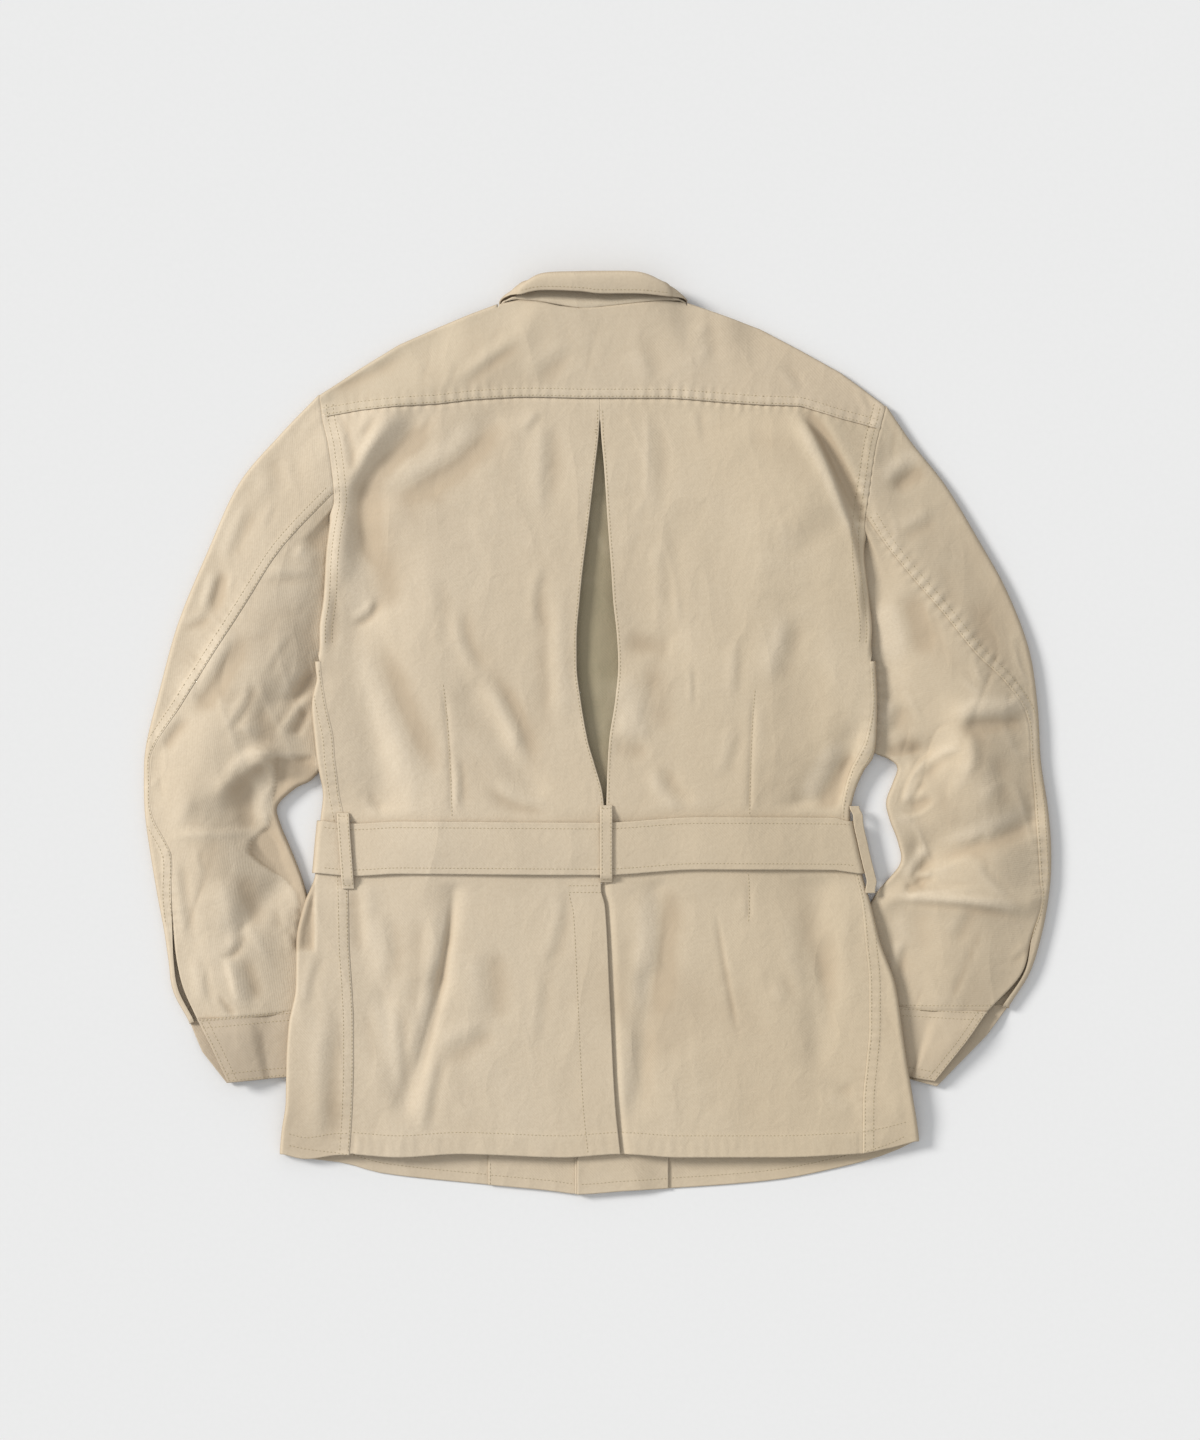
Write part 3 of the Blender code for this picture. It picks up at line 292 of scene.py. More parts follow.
# The sleeves, from the armhole to the cuff seam: each section runs from its outer edge, through the
# back seam, to its inner edge. Past the start of the cuff's slit the seam columns are the upper layer's
# free edge.
LEFT_SLEEVE = """
outer_x outer_y seam_x seam_y inner_x inner_y  rise  outer_r  inner_r  open
 -251.3     303   -238    214    -240.5    66   6.0      3.2      1.8   0.0
 -287.0     266   -269    182    -245      38   8.0      3.4      1.8   0.0
 -323.0     223   -291    155    -244      14  10.0      3.6      1.8   0.0
 -351.0     162   -317    113    -244      -8  12.0      4.0      1.8   0.0
 -377.0      99   -346     68    -246     -26  13.0      4.0      2.0   0.0
 -394.0      38   -374     24    -258     -42  13.0      4.0      3.0   0.0
 -406.0     -11   -400    -16    -273     -50  13.0      4.0      3.4   0.0
 -408.0     -41   -402    -43    -289     -66  13.0      4.0      3.4   0.0
 -407.0     -74   -400    -75    -286     -83  12.0      4.0      3.4   0.0
 -402.0    -110   -383   -109    -276    -107  11.0      4.0      3.2   0.0
 -396.0    -146   -383   -146    -266    -134   9.0      3.6      2.2   0.0
 -390.0    -178   -380   -179    -258    -166   8.0      3.4      1.8   0.4
 -386.0    -205   -378   -205    -254    -195   7.0      3.4      1.8   0.9
 -382.0    -232   -372   -230    -253    -223   6.0      3.4      1.8   0.9
 -368.0    -259   -360   -257    -255    -248   5.0      3.2      1.8   0.9
"""
RIGHT_SLEEVE = """
outer_x outer_y seam_x seam_y inner_x inner_y  rise  outer_r  inner_r  open
  258.5     293    242     193     235      66   6.0      3.2      1.8   0.0
  282.0     259    258    167     240      22   8.0      3.4      1.8   0.0
  312.0     221    282    137     240       4  10.0      3.6      1.8   0.0
  341.0     173    308    107     242     -14  12.0      4.0      1.8   0.0
  366.0     128    336     72     262     -24  13.0      4.0      3.0   0.0
  386.0      76    364     45     269     -32  13.0      4.0      3.4   0.0
  394.0      25    384     15     265     -45  13.0      4.0      3.4   0.0
  397.0     -25    388    -27     259     -62  13.0      4.0      3.4   0.0
  403.0     -65    392    -67     262     -78  13.0      4.0      3.4   0.0
  406.0     -97    394    -99     270    -100  12.0      4.0      3.2   0.0
  406.0    -128    396   -131     271    -119  10.0      3.8      3.0   0.0
  403.0    -155    397   -154     250    -145   9.0      3.6      2.2   0.0
  397.0    -185    387   -185     238    -172   8.0      3.4      1.8   0.3
  387.0    -216    379   -217     242    -205   7.0      3.4      1.8   0.9
  369.0    -245    349   -250     251    -245   5.0      3.2      1.8   0.9
"""
FRONT_SEAM = 0.7  # the sleeve's hidden seam, as a share of the way along its underside from the outer edge

# The cuffs, from the cuff seam down: the lower layer's end, the upper layer's end and the inner fold.
LEFT_CUFF = """
lower_x lower_y upper_x upper_y inner_x inner_y  rise
 -368.0    -259    -360    -257    -255    -248   4.6
 -356.0    -287    -348    -280    -257    -279   4.6
 -334.0    -315    -332    -314    -261    -308   4.6
"""
RIGHT_CUFF = """
lower_x lower_y upper_x upper_y inner_x inner_y  rise
  369.0    -245     349    -250     251    -245   4.6
  349.0    -272     330    -277     254    -277   4.6
  304.0    -318     302    -313     258    -306   4.6
"""
CUFF_FOLD = 1.9  # radius of the inner fold
CUFF_UPPER = (0, 0.14, 0.28, 0.42, 0.56, 0.78, 1)  # shares of the way in along the upper layer
CUFF_LOWER = (0, 0.16, 0.32, 0.46, 0.58, 0.66, 0.74, 0.87, 1)  # and out along the lower one
CUFF_SEAM_GAP = 0.5  # from the sleeve's end to the cuff
CUFF_LIFT = 2.7  # the end of the lower layer lies this high on its button

# The collar, from the left front round the back of the neck to the right front. The stand runs from the
# seam to the roll, and the fall from the roll over to its edge. Under the fronts both lie flat.
COLLAR = """
seam_x seam_y seam_z roll_x roll_y roll_z edge_x edge_y edge_z bulge_x bulge_y bulge_z
   -12    304    5.6     -8    330    3.5    -62    262    1.0       0      10       0
   -46    316    5.6    -34    338    3.5    -92    290    1.0       8       8       0
   -70    334    5.6    -52    350    3.3   -110    318    1.0      10       4       0
   -84    350    5.6    -62    364    3.3   -116    340    1.0      10       2       0
   -88    374    6.2    -66    378    3.6   -100    366    1.3      -2       2       0
   -87    381    8.0    -69    386    4.7    -90    380    1.3      -2       3       0
   -85    386   11.0    -70    391    6.5    -88    388    8.0      -2       3       0
   -80    388   13.0    -67    396    8.5    -80    394   17.0      -2       3       4
   -75    389   13.3    -63    399    9.2    -75    395   22.0      -2       5       5
   -70    389   13.6    -58    402    9.5    -69    395   26.0      -2       6       7
   -53    387   17.5    -45    406    9.5    -52    398   29.0      -2       9       8
   -17    381   19.2    -16    407    9.0    -17    397   30.5       0      10       9
     1    382   19.2      1    407    9.0      1    395   30.5       0      11       9
    37    386   19.0     34    405    9.5     37    395   29.0       1      12       8
    61    388   15.0     51    401    9.5     61    393   26.0       2       7       7
    67    388   13.8     56    398    9.2     67    393   22.0       2       5       5
    72    388   13.0     60    395    8.5     74    392   17.0       3       3       4
    77    385   11.0     62    390    6.5     79    388    8.0       2       3       0
    78    380    8.0     61    385    4.7     80    382    1.3       2       2       0
    79    372    6.2     60    376    3.8     96    364    1.3       2       2       0
    77    350    5.6     56    364    3.5    110    340    1.0     -10       2       0
    66    334    5.6     48    350    3.5    106    318    1.0     -10       4       0
    44    316    5.6     32    338    3.5     90    290    1.0      -8       8       0
    12    304    8.6      8    330    3.5     62    262    1.0       0      10       0
"""

ROLL_RADIUS = 1.25  # where the collar lies flat under the fronts
ROLL_CLEARANCE = 1.3  # between stand and fall where the roll turns from the fronts to the back

BELT_LINE = """
   x     y
-257  -102
-219  -105
-179  -103
   1  -104
  91   -99
 217  -100
 240  -103
"""
BELT_TURN = FOLD + BELT_LAYER + 0.5  # radius of the belt's turn round a side
BUCKLE_HALF = 26.0  # half the buckle's length along the belt
TONGUE_RISE = 2.6  # how much higher the belt's tongue lies on the buckle
RIGHT_LOOP_STAND = 4.4  # how far the right loop stands off the side fold to clear the belt's turn

# The loops that lie over the belt: the middles of their upper and lower ends.
LOOP_WIDTH = 11.0
LOOPS = """
side  top_x  top_y  bottom_x  bottom_y
  -1   -229    -72      -224      -140
   0      7    -65         7      -134
"""

BUTTON_RADIUS = 10.0
BUTTON_THICKNESS = 2.6
CUFF_BUTTON_RADIUS = 7.5
CUFF_BUTTON_THICKNESS = 2.2
# A button's section from its middle out and round to its back, as shares of its radius and its thickness
BUTTON_SECTION = (
    (0.0, 0.55),
    (0.5, 0.55),
    (0.68, 0.62),
    (0.8, 0.95),
    (0.9, 1.0),
    (0.98, 0.85),
    (1.0, 0.5),
    (0.95, 0.12),
    (0.85, 0.0),
    (0.0, 0.0),
)

# Creases that are pressed or crumpled into the cloth, each a bend through three points. The widths are to
# its left and its right on the way from the first point to the last; a trough has a negative height.
CREASES = """
  x0    y0   xm    ym   x1    y1  left  right  height
-129  -133 -144  -225 -172  -330     5      2.2  -1.8
-137  -135 -152  -225 -180  -326     5      5     0.8
  43   300   44   250   42   200     2      3     0.4
  42   211   36   200   28   191     3      3     0.4
  50   185   66   150   72    88     3      4     0.6
  20    80   45    77   70    73    13      9    -1.4
 105  -150  111  -196  127  -280     2.5    3    -1.0
-262    26 -268     8 -276    -6     5      7    -2.8
-334   -50 -306   -18 -252   -37     5      3     1.4
-339  -194 -328  -200 -316  -176     3      3    -1.3
-326  -190 -320  -178 -315  -166     4      3    -1.3
-337  -196 -330  -215 -323  -243     5      4     0.9
-340  -233 -334  -246 -326  -257     2.5    2.5  -1.3
-333  -240 -329  -248 -325  -255     2.5    2.5  -1.0
-385   -93 -350   -91 -303   -90     4      4     1.2
 252   -22 272   -17  296   -16     9      4    -2.6
 274  -142 284  -138  296  -136     4      4    -2.0
 346  -165 331  -208  311  -254     2      3    -1.0
 253  -146 320  -147  397  -156     3      5     0.8
"""

# Soft folds, each drawn by the band of cloth that slopes: its middle line, its width, and its slope in
# hundredths, which is positive where the cloth falls away from the light and negative where it faces it.
BANDS = """
  x0    y0   xm    ym   x1    y1  across  slope
 -95  286 -128  247 -190  212      18     39
-163  286 -182  260 -216  233      20     35
-215  240 -219  190 -210  140      20     41
-190  284 -215  243 -229  204      10    -33
-232  218 -239  180 -243  135      15    -26
-202  122 -205  108 -223   98       7     61
-209  165 -203  130 -198  100      26     18
-207   90 -186   30 -150  -55      22     28
-121  112 -119   80 -100   50      10     26
-104   52  -80   20  -61  -34      12     39
-128  -18 -124  -40 -125  -72       6     33
 -40  135  -41   60  -36    0      14    -21
 -47  152  -56  115  -50   88       8     21
 -46  290  -46  255  -48  190      14     21
-236  286 -226  262 -222  232       7     39
-199  287 -207  276 -214  264       6     30
-150  289 -156  276 -162  264       5     23
 -52  288  -58  278  -67  268       8     30
 -97  -44  -76  -60  -40  -69      10     30
-210  -55 -203  -64 -193  -74       8     26
-238  134 -242  100 -245   66       9     39
-145  142 -142  110 -138   78      12     12
 176  292  210  235  237  172      12     75
 188  292  222  235  245  182      12    -30
  48  292   52  250   53  188      13     15
  58  182   60  145   60  108      14     14
  30   62   41   25   38   -5      24     18
  12   -2   30   -6   48   -7      18     21
 126   88  124   58  121   28       9     19
 174  108  168   80  157   42      16     23
  83   62   84   42   84   22       5     23
  53  -28   62  -50   82  -70      12     28
 225  -10  211  -35  190  -70      16     51
 234   -8  223  -40  213  -72       7    -35
  88  290   90  276   92  260       6     21
 126    6  118  -20  111  -42      10     16
-250  310 -212  323 -170  347      10     30
 -68  354 -100  331 -124  311       9     33
-129  334 -132  320 -136  304       5     23
-154  332 -159  320 -158  306       5     18
  97  374   97  352  101  328      10     21
 164  328  174  316  181  303       8     26
 236  308  238  300  245  288       5     28
 -20  345  -45  330  -60  312      14     16
  30  350   45  330   48  308      14     12
-131 -131 -143 -228 -168 -330       6     46
-152 -148 -155 -210 -161 -275      14    -18
-192 -158 -187 -198 -193 -230      14     21
-181 -238 -177 -280 -175 -328      10     35
-206 -238 -196 -275 -190 -305      14    -21
-214 -128 -211 -160 -208 -205      12    -26
-106 -192 -100 -225 -100 -262      20     18
 -98 -258 -116 -274 -142 -286      16     23
-139 -283 -147 -312 -156 -362       9     26
 -31 -136  -35 -178  -50 -212      10     20
 -50 -206  -52 -242  -56 -288      10     14
-237 -248 -243 -300 -245 -372      14     26
-250 -196 -258 -225 -262 -250       8     28
  55 -128   52 -190   41 -262      18     36
  39 -256   35 -305   36 -348      16     20
  42 -160   34 -215   26 -270      16    -12
 174 -146  184 -195  190 -235      20     12
 191 -186  200 -232  205 -278      10     15
 216 -146  215 -200  215 -255      14     -9
 158 -222  166 -230  172 -242      12     16
 211 -318  217 -326  229 -330      14     16
-341  148 -346  125 -352  106      10     66
-378   96 -363  100 -348  107       7     50
-308  208 -322  184 -333  152      12     32
-289  207 -294  196 -300  183       5     28
-325  143 -328  132 -331  122       4     30
-321   94 -342   55 -372   18      16     43
-368   18 -385    0 -397  -18      10     41
-273   90 -288   70 -298   50       5     28
-312   48 -316   26 -334    0       6     50
-256   57 -268   45 -285   26      10     50
-259   38 -274   20 -290   -4       7    -46
-314   14 -306    2 -312   -8      18     25
-268  172 -258  165 -247  160      14     30
-302  137 -280  141 -249  138       8     30
-256  280 -260  273 -264  266       6     30
-330  -40 -318  -34 -298  -26      10     30
-327  -38 -334  -55 -336  -76      10     12
-301  -27 -289  -34 -282  -54       8     42
-307  -38 -308  -66 -300  -90      18    -32
-331 -126 -322 -156 -318 -184      18     30
-320 -178 -323 -190 -333 -195      10     32
-336 -198 -331 -216 -325 -244       5    -35
-326 -200 -316 -225 -311 -248      13     41
-376 -108 -372 -150 -365 -194       8     32
-358 -198 -355 -225 -352 -248       9     28
-356 -103 -357 -115 -351 -127       5     23
-374  -86 -366  -72 -361  -56      10     18
-286 -156 -284 -165 -283 -178       8    -25
-278 -178 -275 -188 -273 -198       5     50
-300  252 -296  230 -290  210      14     18
-276  250 -272  232 -266  214      10     16
 295  242  276  236  257  220      14     50
 266  278  262  256  265  244       5     38
 302  197  286  186  268  180      10     27
 264  124  275   92  280   62      24     27
 288  118  300   96  305   72       8    -24
 292  114  302   92  305   66       5     32
 323   52  335   43  344   34       6     32
 274   42  284   26  293   10       5     24
 320   10  348   14  384   17      14     53
 269   28  264   14  258    2      13     27
 330  120  336   90  340   62      18     14
 300  150  308  130  312  108      14     14
 327   -17  304   -24  289   -44       8     42
 291  -40  283  -54  274  -66       6     38
 301  -16  282  -36  271  -68       4    -45
 297  -54  286  -61  276  -66       8     48
 302  -58  286  -73  268  -70       4    -27
 331   -3  338  -22  328  -44       8     34
 329  -40  323  -52  317  -64       8     16
 395  -71  356  -90  298 -109      14     44
 302 -106  289 -118  279 -134      10     64
 302 -127  293 -130  283 -131       6     75
 276 -145  300 -140  346 -138       5    -35
 260 -152  320 -153  388 -165       7     53
 332 -153  325 -172  314 -187      10     24
 339 -110  350 -130  372 -147       7     29
 276 -186  270 -204  267 -218       8     38
 278 -156  282 -180  286 -205      18     14
 386 -188  379 -198  370 -203       5     32
 350  -20  356  -45  352  -70      14     18
"""

# The left sleeve's inner layer shows beside its outer one, which ends in this folded edge.
INNER_FOLD = """
   x     y
-289   -27
-294   -61
-297   -83
-313   -98
-315  -108
-303  -119
-283  -132
-274  -142
-270  -155
-271  -190
"""

# The darts: two above the belt and a short one below it.
DARTS = """
  x0    y0   xm    ym   x1    y1
-139    43 -134    -7 -131   -76
 140    38  137    -7  135   -76
 134  -126  135  -151  134  -172
"""

# How finely the cloth is drawn, in rows and columns of points
ROW_LOW, ROW_HIGH = -331.0, 205.0
ROWS = np.concatenate([np.linspace(0, 1, 17)[:-1], np.linspace(1, 2, 206)[:-1], np.linspace(2, 3, 37)])
PANEL_COLUMNS, STRIP_COLUMNS, YOKE_COLUMNS = 132, 20, 190
TOP_COLUMNS, UNDER_COLUMNS, SLEEVE_PARTS = 22, 56, 16
COLLAR_PARTS, BELT_COLUMNS = 6, 13
# How far the collar's edge and bulge lie below the solid's at the back of the neck, where it hangs softer
FALL_SINKS, BULGE_SINKS = np.array((0, 3.0, 5.0)), np.array((0, 2.5, 1.5))
# Seams: the felled band's step, and the puckers' height, pitch and reach on each side of the band's middle
SEAM_RAISE, PUCKER_HEIGHT, PUCKER_PITCH, PUCKER_REACH = 0.6, 0.75, 9.5, 8.0
# Rows of stitches: how far each lies from its seam or from its piece's edge
FELLED_ROWS, SIDE_ROWS, ARMHOLE_ROWS, CUFF_ROWS = (1.8, 8.0), (2.0, 9.5), (5.0, 11.0), (2.2, 8.5)
EDGE_ROW, BELT_ROW, LOOP_ROW, FACING_ROW = 2.0, 5.5, 1.6, 1.5
# The back's hem: y at its outer ends, its depth, how far it stands up, and its row of stitches
HEM_END, HEM_DEPTH, HEM_RAISE = -378.0, 21.0, 0.5
HEM_ROW, FRONT_HEM_ROW = HEM_DEPTH - 1.5, 9.0
# How far a sheet goes on under the one that is lapped over it, and how much lower it lies there
SEAM_LAP, SEAM_DROP = 3.0, 1.8
EDGE_ROUND = 1.2  # how far in from its edges a sheet looks rounded
DOUBLE_WALL, COLLAR_WALL = 2.0, 1.6  # drawn walls of the cuffs and the belt, and of the collar
PLEAT_SEWN = 277.0  # y above which the pleat is stitched shut
# The level direction away from the light, which the signs of the soft folds' slopes refer to
FROM_LIGHT = np.array([0.9, -0.43])

# The y of the under sleeve's points along the armhole, which are also its columns' shares of the way across,
# and of the points along the armhole on the underside.
ARMHOLE_LEVELS = {-1: (213.7, 205, 190, 178, 150, 119, 92, 66), 1: (192.7, 178, 150, 119, 105, 92, 79, 66)}
UNDERSIDE_LEVELS = {
    -1: (299.8, 275, 258, 238, 208, 182, 156, 131, 108, 88, 66),
    1: (289.8, 266, 250, 232, 205, 180, 155, 130, 108, 88, 66),
}


def table(text):
    """The columns of a table, by name: its first line names them, and each later line is a row."""
    lines = [line.split() for line in text.strip().splitlines()]
    return {name: np.array([float(row[i]) for row in lines[1:]]) for i, name in enumerate(lines[0])}


TORSO, YOKE, PLEAT, ARMHOLE, RIDGE = map(table, (TORSO, YOKE, PLEAT, ARMHOLE, RIDGE))
BACK_HEM, FRONT_HEM, FOLDS, BELT_LINE = map(table, (BACK_HEM, FRONT_HEM, FOLDS, BELT_LINE))
LEFT_SLEEVE, RIGHT_SLEEVE = map(table, (LEFT_SLEEVE, RIGHT_SLEEVE))
LEFT_CUFF, RIGHT_CUFF, COLLAR, LOOPS = map(table, (LEFT_CUFF, RIGHT_CUFF, COLLAR, LOOPS))
SLEEVES = {-1: LEFT_SLEEVE, 1: RIGHT_SLEEVE}
CUFFS = {-1: LEFT_CUFF, 1: RIGHT_CUFF}
SLIT_START = 12  # the row of both sleeves' tables where the cuff's slit starts
CREASES, BANDS, INNER_FOLD, DARTS = map(table, (CREASES, BANDS, INNER_FOLD, DARTS))


def mix(a, b, t):
    return a + (b - a) * t


def smooth(t):
    """0 below 0, 1 above 1, and an even S between."""
    t = np.clip(t, 0.0, 1.0)
    return t * t * (3 - 2 * t)


def steps(first, last, count):
    return np.linspace(first, last, count)


def unit(vector):
    return vector / np.linalg.norm(vector)


def line_of(xs, ys):
    return np.stack(np.broadcast_arrays(xs, ys), axis=1).astype(float)


def places(rows, name):
    """A table's points of that name, from their x and y columns."""
    return np.stack([rows[name + "_x"], rows[name + "_y"]], axis=1)


def through(xs, ys, x):
    """A curve through the points that never swings past them, read at x."""
    order = np.argsort(xs)
    xs, ys = xs[order], ys[order]
    run, slope = np.diff(xs), np.diff(ys) / np.diff(xs)
    tangent = np.concatenate(([slope[0]], np.zeros(len(slope) - 1), [slope[-1]]))
    steady = slope[:-1] * slope[1:] > 0
    tangent[1:-1][steady] = 2 * (slope[:-1] * slope[1:])[steady] / (slope[:-1] + slope[1:])[steady]
    x = np.clip(x, xs[0], xs[-1])
    i = np.clip(np.searchsorted(xs, x) - 1, 0, len(run) - 1)
    t = (x - xs[i]) / run[i]
    bend = t * t * (3 - 2 * t)
    push = run[i] * (t * (1 - t) ** 2 * tangent[i] - t * t * (1 - t) * tangent[i + 1])
    return ys[i] + (ys[i + 1] - ys[i]) * bend + push


def torso(name, y):
    return through(TORSO["y"], TORSO[name], y)


def belt_line(x):
    return through(BELT_LINE["x"], BELT_LINE["y"], x)


def back_hem(x):
    return through(BACK_HEM["x"], BACK_HEM["y"], x)


def front_hem(layer, x):
    return through(FRONT_HEM["x"], FRONT_HEM[layer], x)


def pleat_edge(side, y):
    return through(PLEAT["y"], PLEAT[SIDE_NAME[side]], y)


def armhole(side, y):
    return through(ARMHOLE["y"], ARMHOLE[SIDE_NAME[side]], y)


def band(distance, half, fade):
    """1 within half of the middle, falling to 0 over the fade."""
    return smooth(1 - (np.abs(distance) - half) / fade)


def side_distance(x, y):
    return np.minimum(x - torso("fold_left", y), torso("fold_right", y) - x)


def collar_room(x, y):
    return COLLAR_ROOM * band(x, 114, 30) * smooth((y - 228) / 34)


def side_lift(x, y, shelf, fall):
    """What a sleeve under the body's side lifts it by: all of it over the shelf, and nothing past the
    fall."""
    left = torso("lift_left", y) * smooth((shelf + fall - x + torso("fold_left", y)) / fall)
    right = torso("lift_right", y) * smooth((shelf + fall - torso("fold_right", y) + x) / fall)
    return np.maximum(left, right)


def middle_lift(x, y):
    """The same for the belt, its buckle and the front buttons."""
    by_belt = band(y - belt_line(x), BELT_WIDTH / 2 + 3, 30)
    buckle = BUCKLE_ROOM * by_belt * band(x, BUCKLE_REACH, 40)
    buttons = BUTTON_ROOM * band(x, 14, 30) * smooth((y + 265) / 40)
    return np.maximum.reduce([BELT_ROOM * by_belt, buckle, buttons])


def floor_lift(x, y):
    """How high the fronts lie above the floor, over the sleeves, belt, buckle, buttons and collar under
    them."""
    by_arm = smooth((y - UNDERARM - 5) / 60)
    sides = side_lift(x, y, SIDE_SHELF * (1 - by_arm), mix(SIDE_FALL, ARM_FALL, by_arm))
    return np.maximum.reduce([sides, middle_lift(x, y), collar_room(x, y)])


def fold_relief(x, y):
    """The largest folds, pressed flat under the belt."""
    total = np.zeros(np.broadcast(x, y).shape)
    for x0, y0, x1, y1, width, height in zip(*FOLDS.values()):
        length = math.hypot(x1 - x0, y1 - y0)
        along = ((x - x0) * (x1 - x0) + (y - y0) * (y1 - y0)) / length
        across = ((x - x0) * (y1 - y0) - (y - y0) * (x1 - x0)) / length
        past = np.maximum(np.maximum(-along, along - length), 0)
        total = total + height * np.exp(-((across / width) ** 2) - (past / (1.4 * width)) ** 2)
    return total * (1 - band(y - belt_line(x), BELT_WIDTH / 2 + 4, 12) * band(x, 262, 10))


def ridge_relief(x, y):
    inside = through(RIDGE["y"], RIDGE["x"], y) - x
    step = smooth(inside / RIDGE_WIDTH) * smooth(1 - (inside - 20) / RIDGE_FADE)
    return RIDGE_STEP * step * smooth((y - 60) / 90) * smooth((292 - y) / 34)


def flat_height(x, y):
    """The middle of the back's wall before its folds."""
    from_side = side_distance(x, y)
    from_shoulder = through(YOKE["upper_x"], YOKE["fall_y"], x) - y
    swell = smooth(from_side / SWELL_REACH) * smooth(from_shoulder / SHOULDER_REACH)
    sides = np.maximum(side_lift(x, y, SIDE_SHELF, SIDE_FALL), middle_lift(x, y))
    held = sides * smooth(1 - from_side / (SIDE_SHELF + SIDE_FALL))
    near_neck = collar_room(x, y) * smooth(1 - from_shoulder / SHOULDER_REACH)
    return CLOTH / 2 + 2 * FOLD + torso("rise", y) * swell + np.maximum(held, near_neck)


def back_height(x, y):
    edge = smooth(side_distance(x, y) / 18)
    return flat_height(x, y) + fold_relief(x, y) * edge * smooth((302 - y) / 30) + ridge_relief(x, y)


def front_height(x, y):
    return CLOTH / 2 + floor_lift(x, y)


# The relief that the solids leave out


def value_noise(x, y, size, seed):
    """Soft noise from -1 to 1, with hills about size across. The same seed always gives the same hills."""
    lattice = np.random.default_rng(seed).uniform(-1, 1, (64, 64))
    u, v = x / size + 32, y / size + 32
    i, j = np.floor(u).astype(int), np.floor(v).astype(int)
    s, t = smooth(u - i), smooth(v - j)
    i, j = i % 63, j % 63
    low = mix(lattice[i, j], lattice[i + 1, j], s)
    high = mix(lattice[i, j + 1], lattice[i + 1, j + 1], s)
    return mix(low, high, t)


def nearest(points, x, y):
    """For each place: its distance from a line of points, positive to the left of the way, and how far along
    it is. The last value is the line's length."""
    points = np.asarray(points, float)
    far = np.full(np.broadcast(x, y).shape, 1e9)
    side, along = np.zeros(far.shape), np.zeros(far.shape)
    run = 0.0
    for a, b in zip(points[:-1], points[1:]):
        way = b - a
        length = math.hypot(*way)
        share = np.clip(((x - a[0]) * way[0] + (y - a[1]) * way[1]) / length**2, 0, 1)
        off_x, off_y = x - a[0] - way[0] * share, y - a[1] - way[1] * share
        distance = np.hypot(off_x, off_y)
        closer = distance < far
        far = np.where(closer, distance, far)
        side = np.where(closer, way[0] * (y - a[1]) - way[1] * (x - a[0]), side)
        along = np.where(closer, run + length * share, along)
        run += length
    return np.where(side < 0, -far, far), along, run


def bend(x0, y0, xm, ym, x1, y1, count=9):
    """A smooth line through three points."""
    t = steps(0, 1, count)[:, None]
    first, middle, last = np.array([x0, y0]), np.array([xm, ym]), np.array([x1, y1])
    control = 2 * middle - (first + last) / 2
    return first * (1 - t) ** 2 + control * 2 * t * (1 - t) + last * t**2


def within(points, reach, x, y):
    """Which places lie in the box round some points, with that much room on each side."""
    low, high = np.min(points, axis=0) - reach, np.max(points, axis=0) + reach
    return (x > low[0]) & (x < high[0]) & (y > low[1]) & (y < high[1])


def crease_relief(x, y):
    """The creases, tapering to nothing at both ends."""
    total = np.zeros(x.shape)
    for x0, y0, xm, ym, x1, y1, left, right, height in zip(*CREASES.values()):
        near = within([(x0, y0), (xm, ym), (x1, y1)], 3 * max(left, right), x, y)
        if not near.any():
            continue
        away, along, run = nearest(bend(x0, y0, xm, ym, x1, y1), x[near], y[near])
        width = np.where(away > 0, left, right)
        taper = smooth(along / (0.3 * run)) * smooth((run - along) / (0.3 * run))
        total[near] += height * np.exp(-((away / width) ** 2)) * taper
    return total


def band_relief(x, y):
    """The soft folds. Each slopes evenly across the middle of its band and levels out on both sides."""
    total = np.zeros(x.shape)
    for x0, y0, xm, ym, x1, y1, across, slope in zip(*BANDS.values()):
        line = bend(x0, y0, xm, ym, x1, y1)
        near = within(line, 1.6 * across, x, y)
        if not near.any():
            continue
        away, along, run = nearest(line, x[near], y[near])
        turn = 1 if np.dot((-(y1 - y0), x1 - x0), FROM_LIGHT) > 0 else -1
        taper = smooth(along / (0.35 * run) + 0.1) * smooth((run - along) / (0.35 * run) + 0.1)
        total[near] -= slope / 100 * turn * away * np.exp(-((away / (0.75 * across)) ** 2)) * taper
    return total


def inner_fold_relief(x, y):
    """Beside the left sleeve's inner folded edge, its inner layer lies lower and slopes down to its edge."""
    away = nearest(line_of(*INNER_FOLD.values()), x, y)[0]
    near = band(x + 285, 28, 4) * band(y + 108, 82, 8)
    return -near * (2.2 * smooth((away + 0.4) / 1.6) + 0.10 * np.clip(away, 0, 24))


def seam_lines():
    """The seams that pucker: each a line, the side its felled band lies on, and the band's width. The hem has
    no such band and gets a negative one. The last number is the puckers' strength."""
    xs = steps(-247, 251, 90)
    lines = [(line_of(xs, seam_line(xs)), 1, 9.0, 1.0)]
    for side in (-1, 1):
        ys = steps(HEM_END, UNDERARM, 60)
        lines.append((line_of(torso(SEAM[side], ys), ys), -side, 11.0, 0.5))
        ys = steps(CURL_TOP[side] - 6, 300, 40)
        lines.append((line_of(torso(SEAM[side], ys), ys), side, 10.0, 0.8))
    for side, rows in SLEEVES.items():
        lines.append((places(rows, "seam")[:SLIT_START], side, 10.0, 1.0))
    xs = steps(-224, 236, 80)
    lines.append((line_of(xs, back_hem(xs) + HEM_DEPTH - 8), -1, -9.0, 0.2))
    return lines


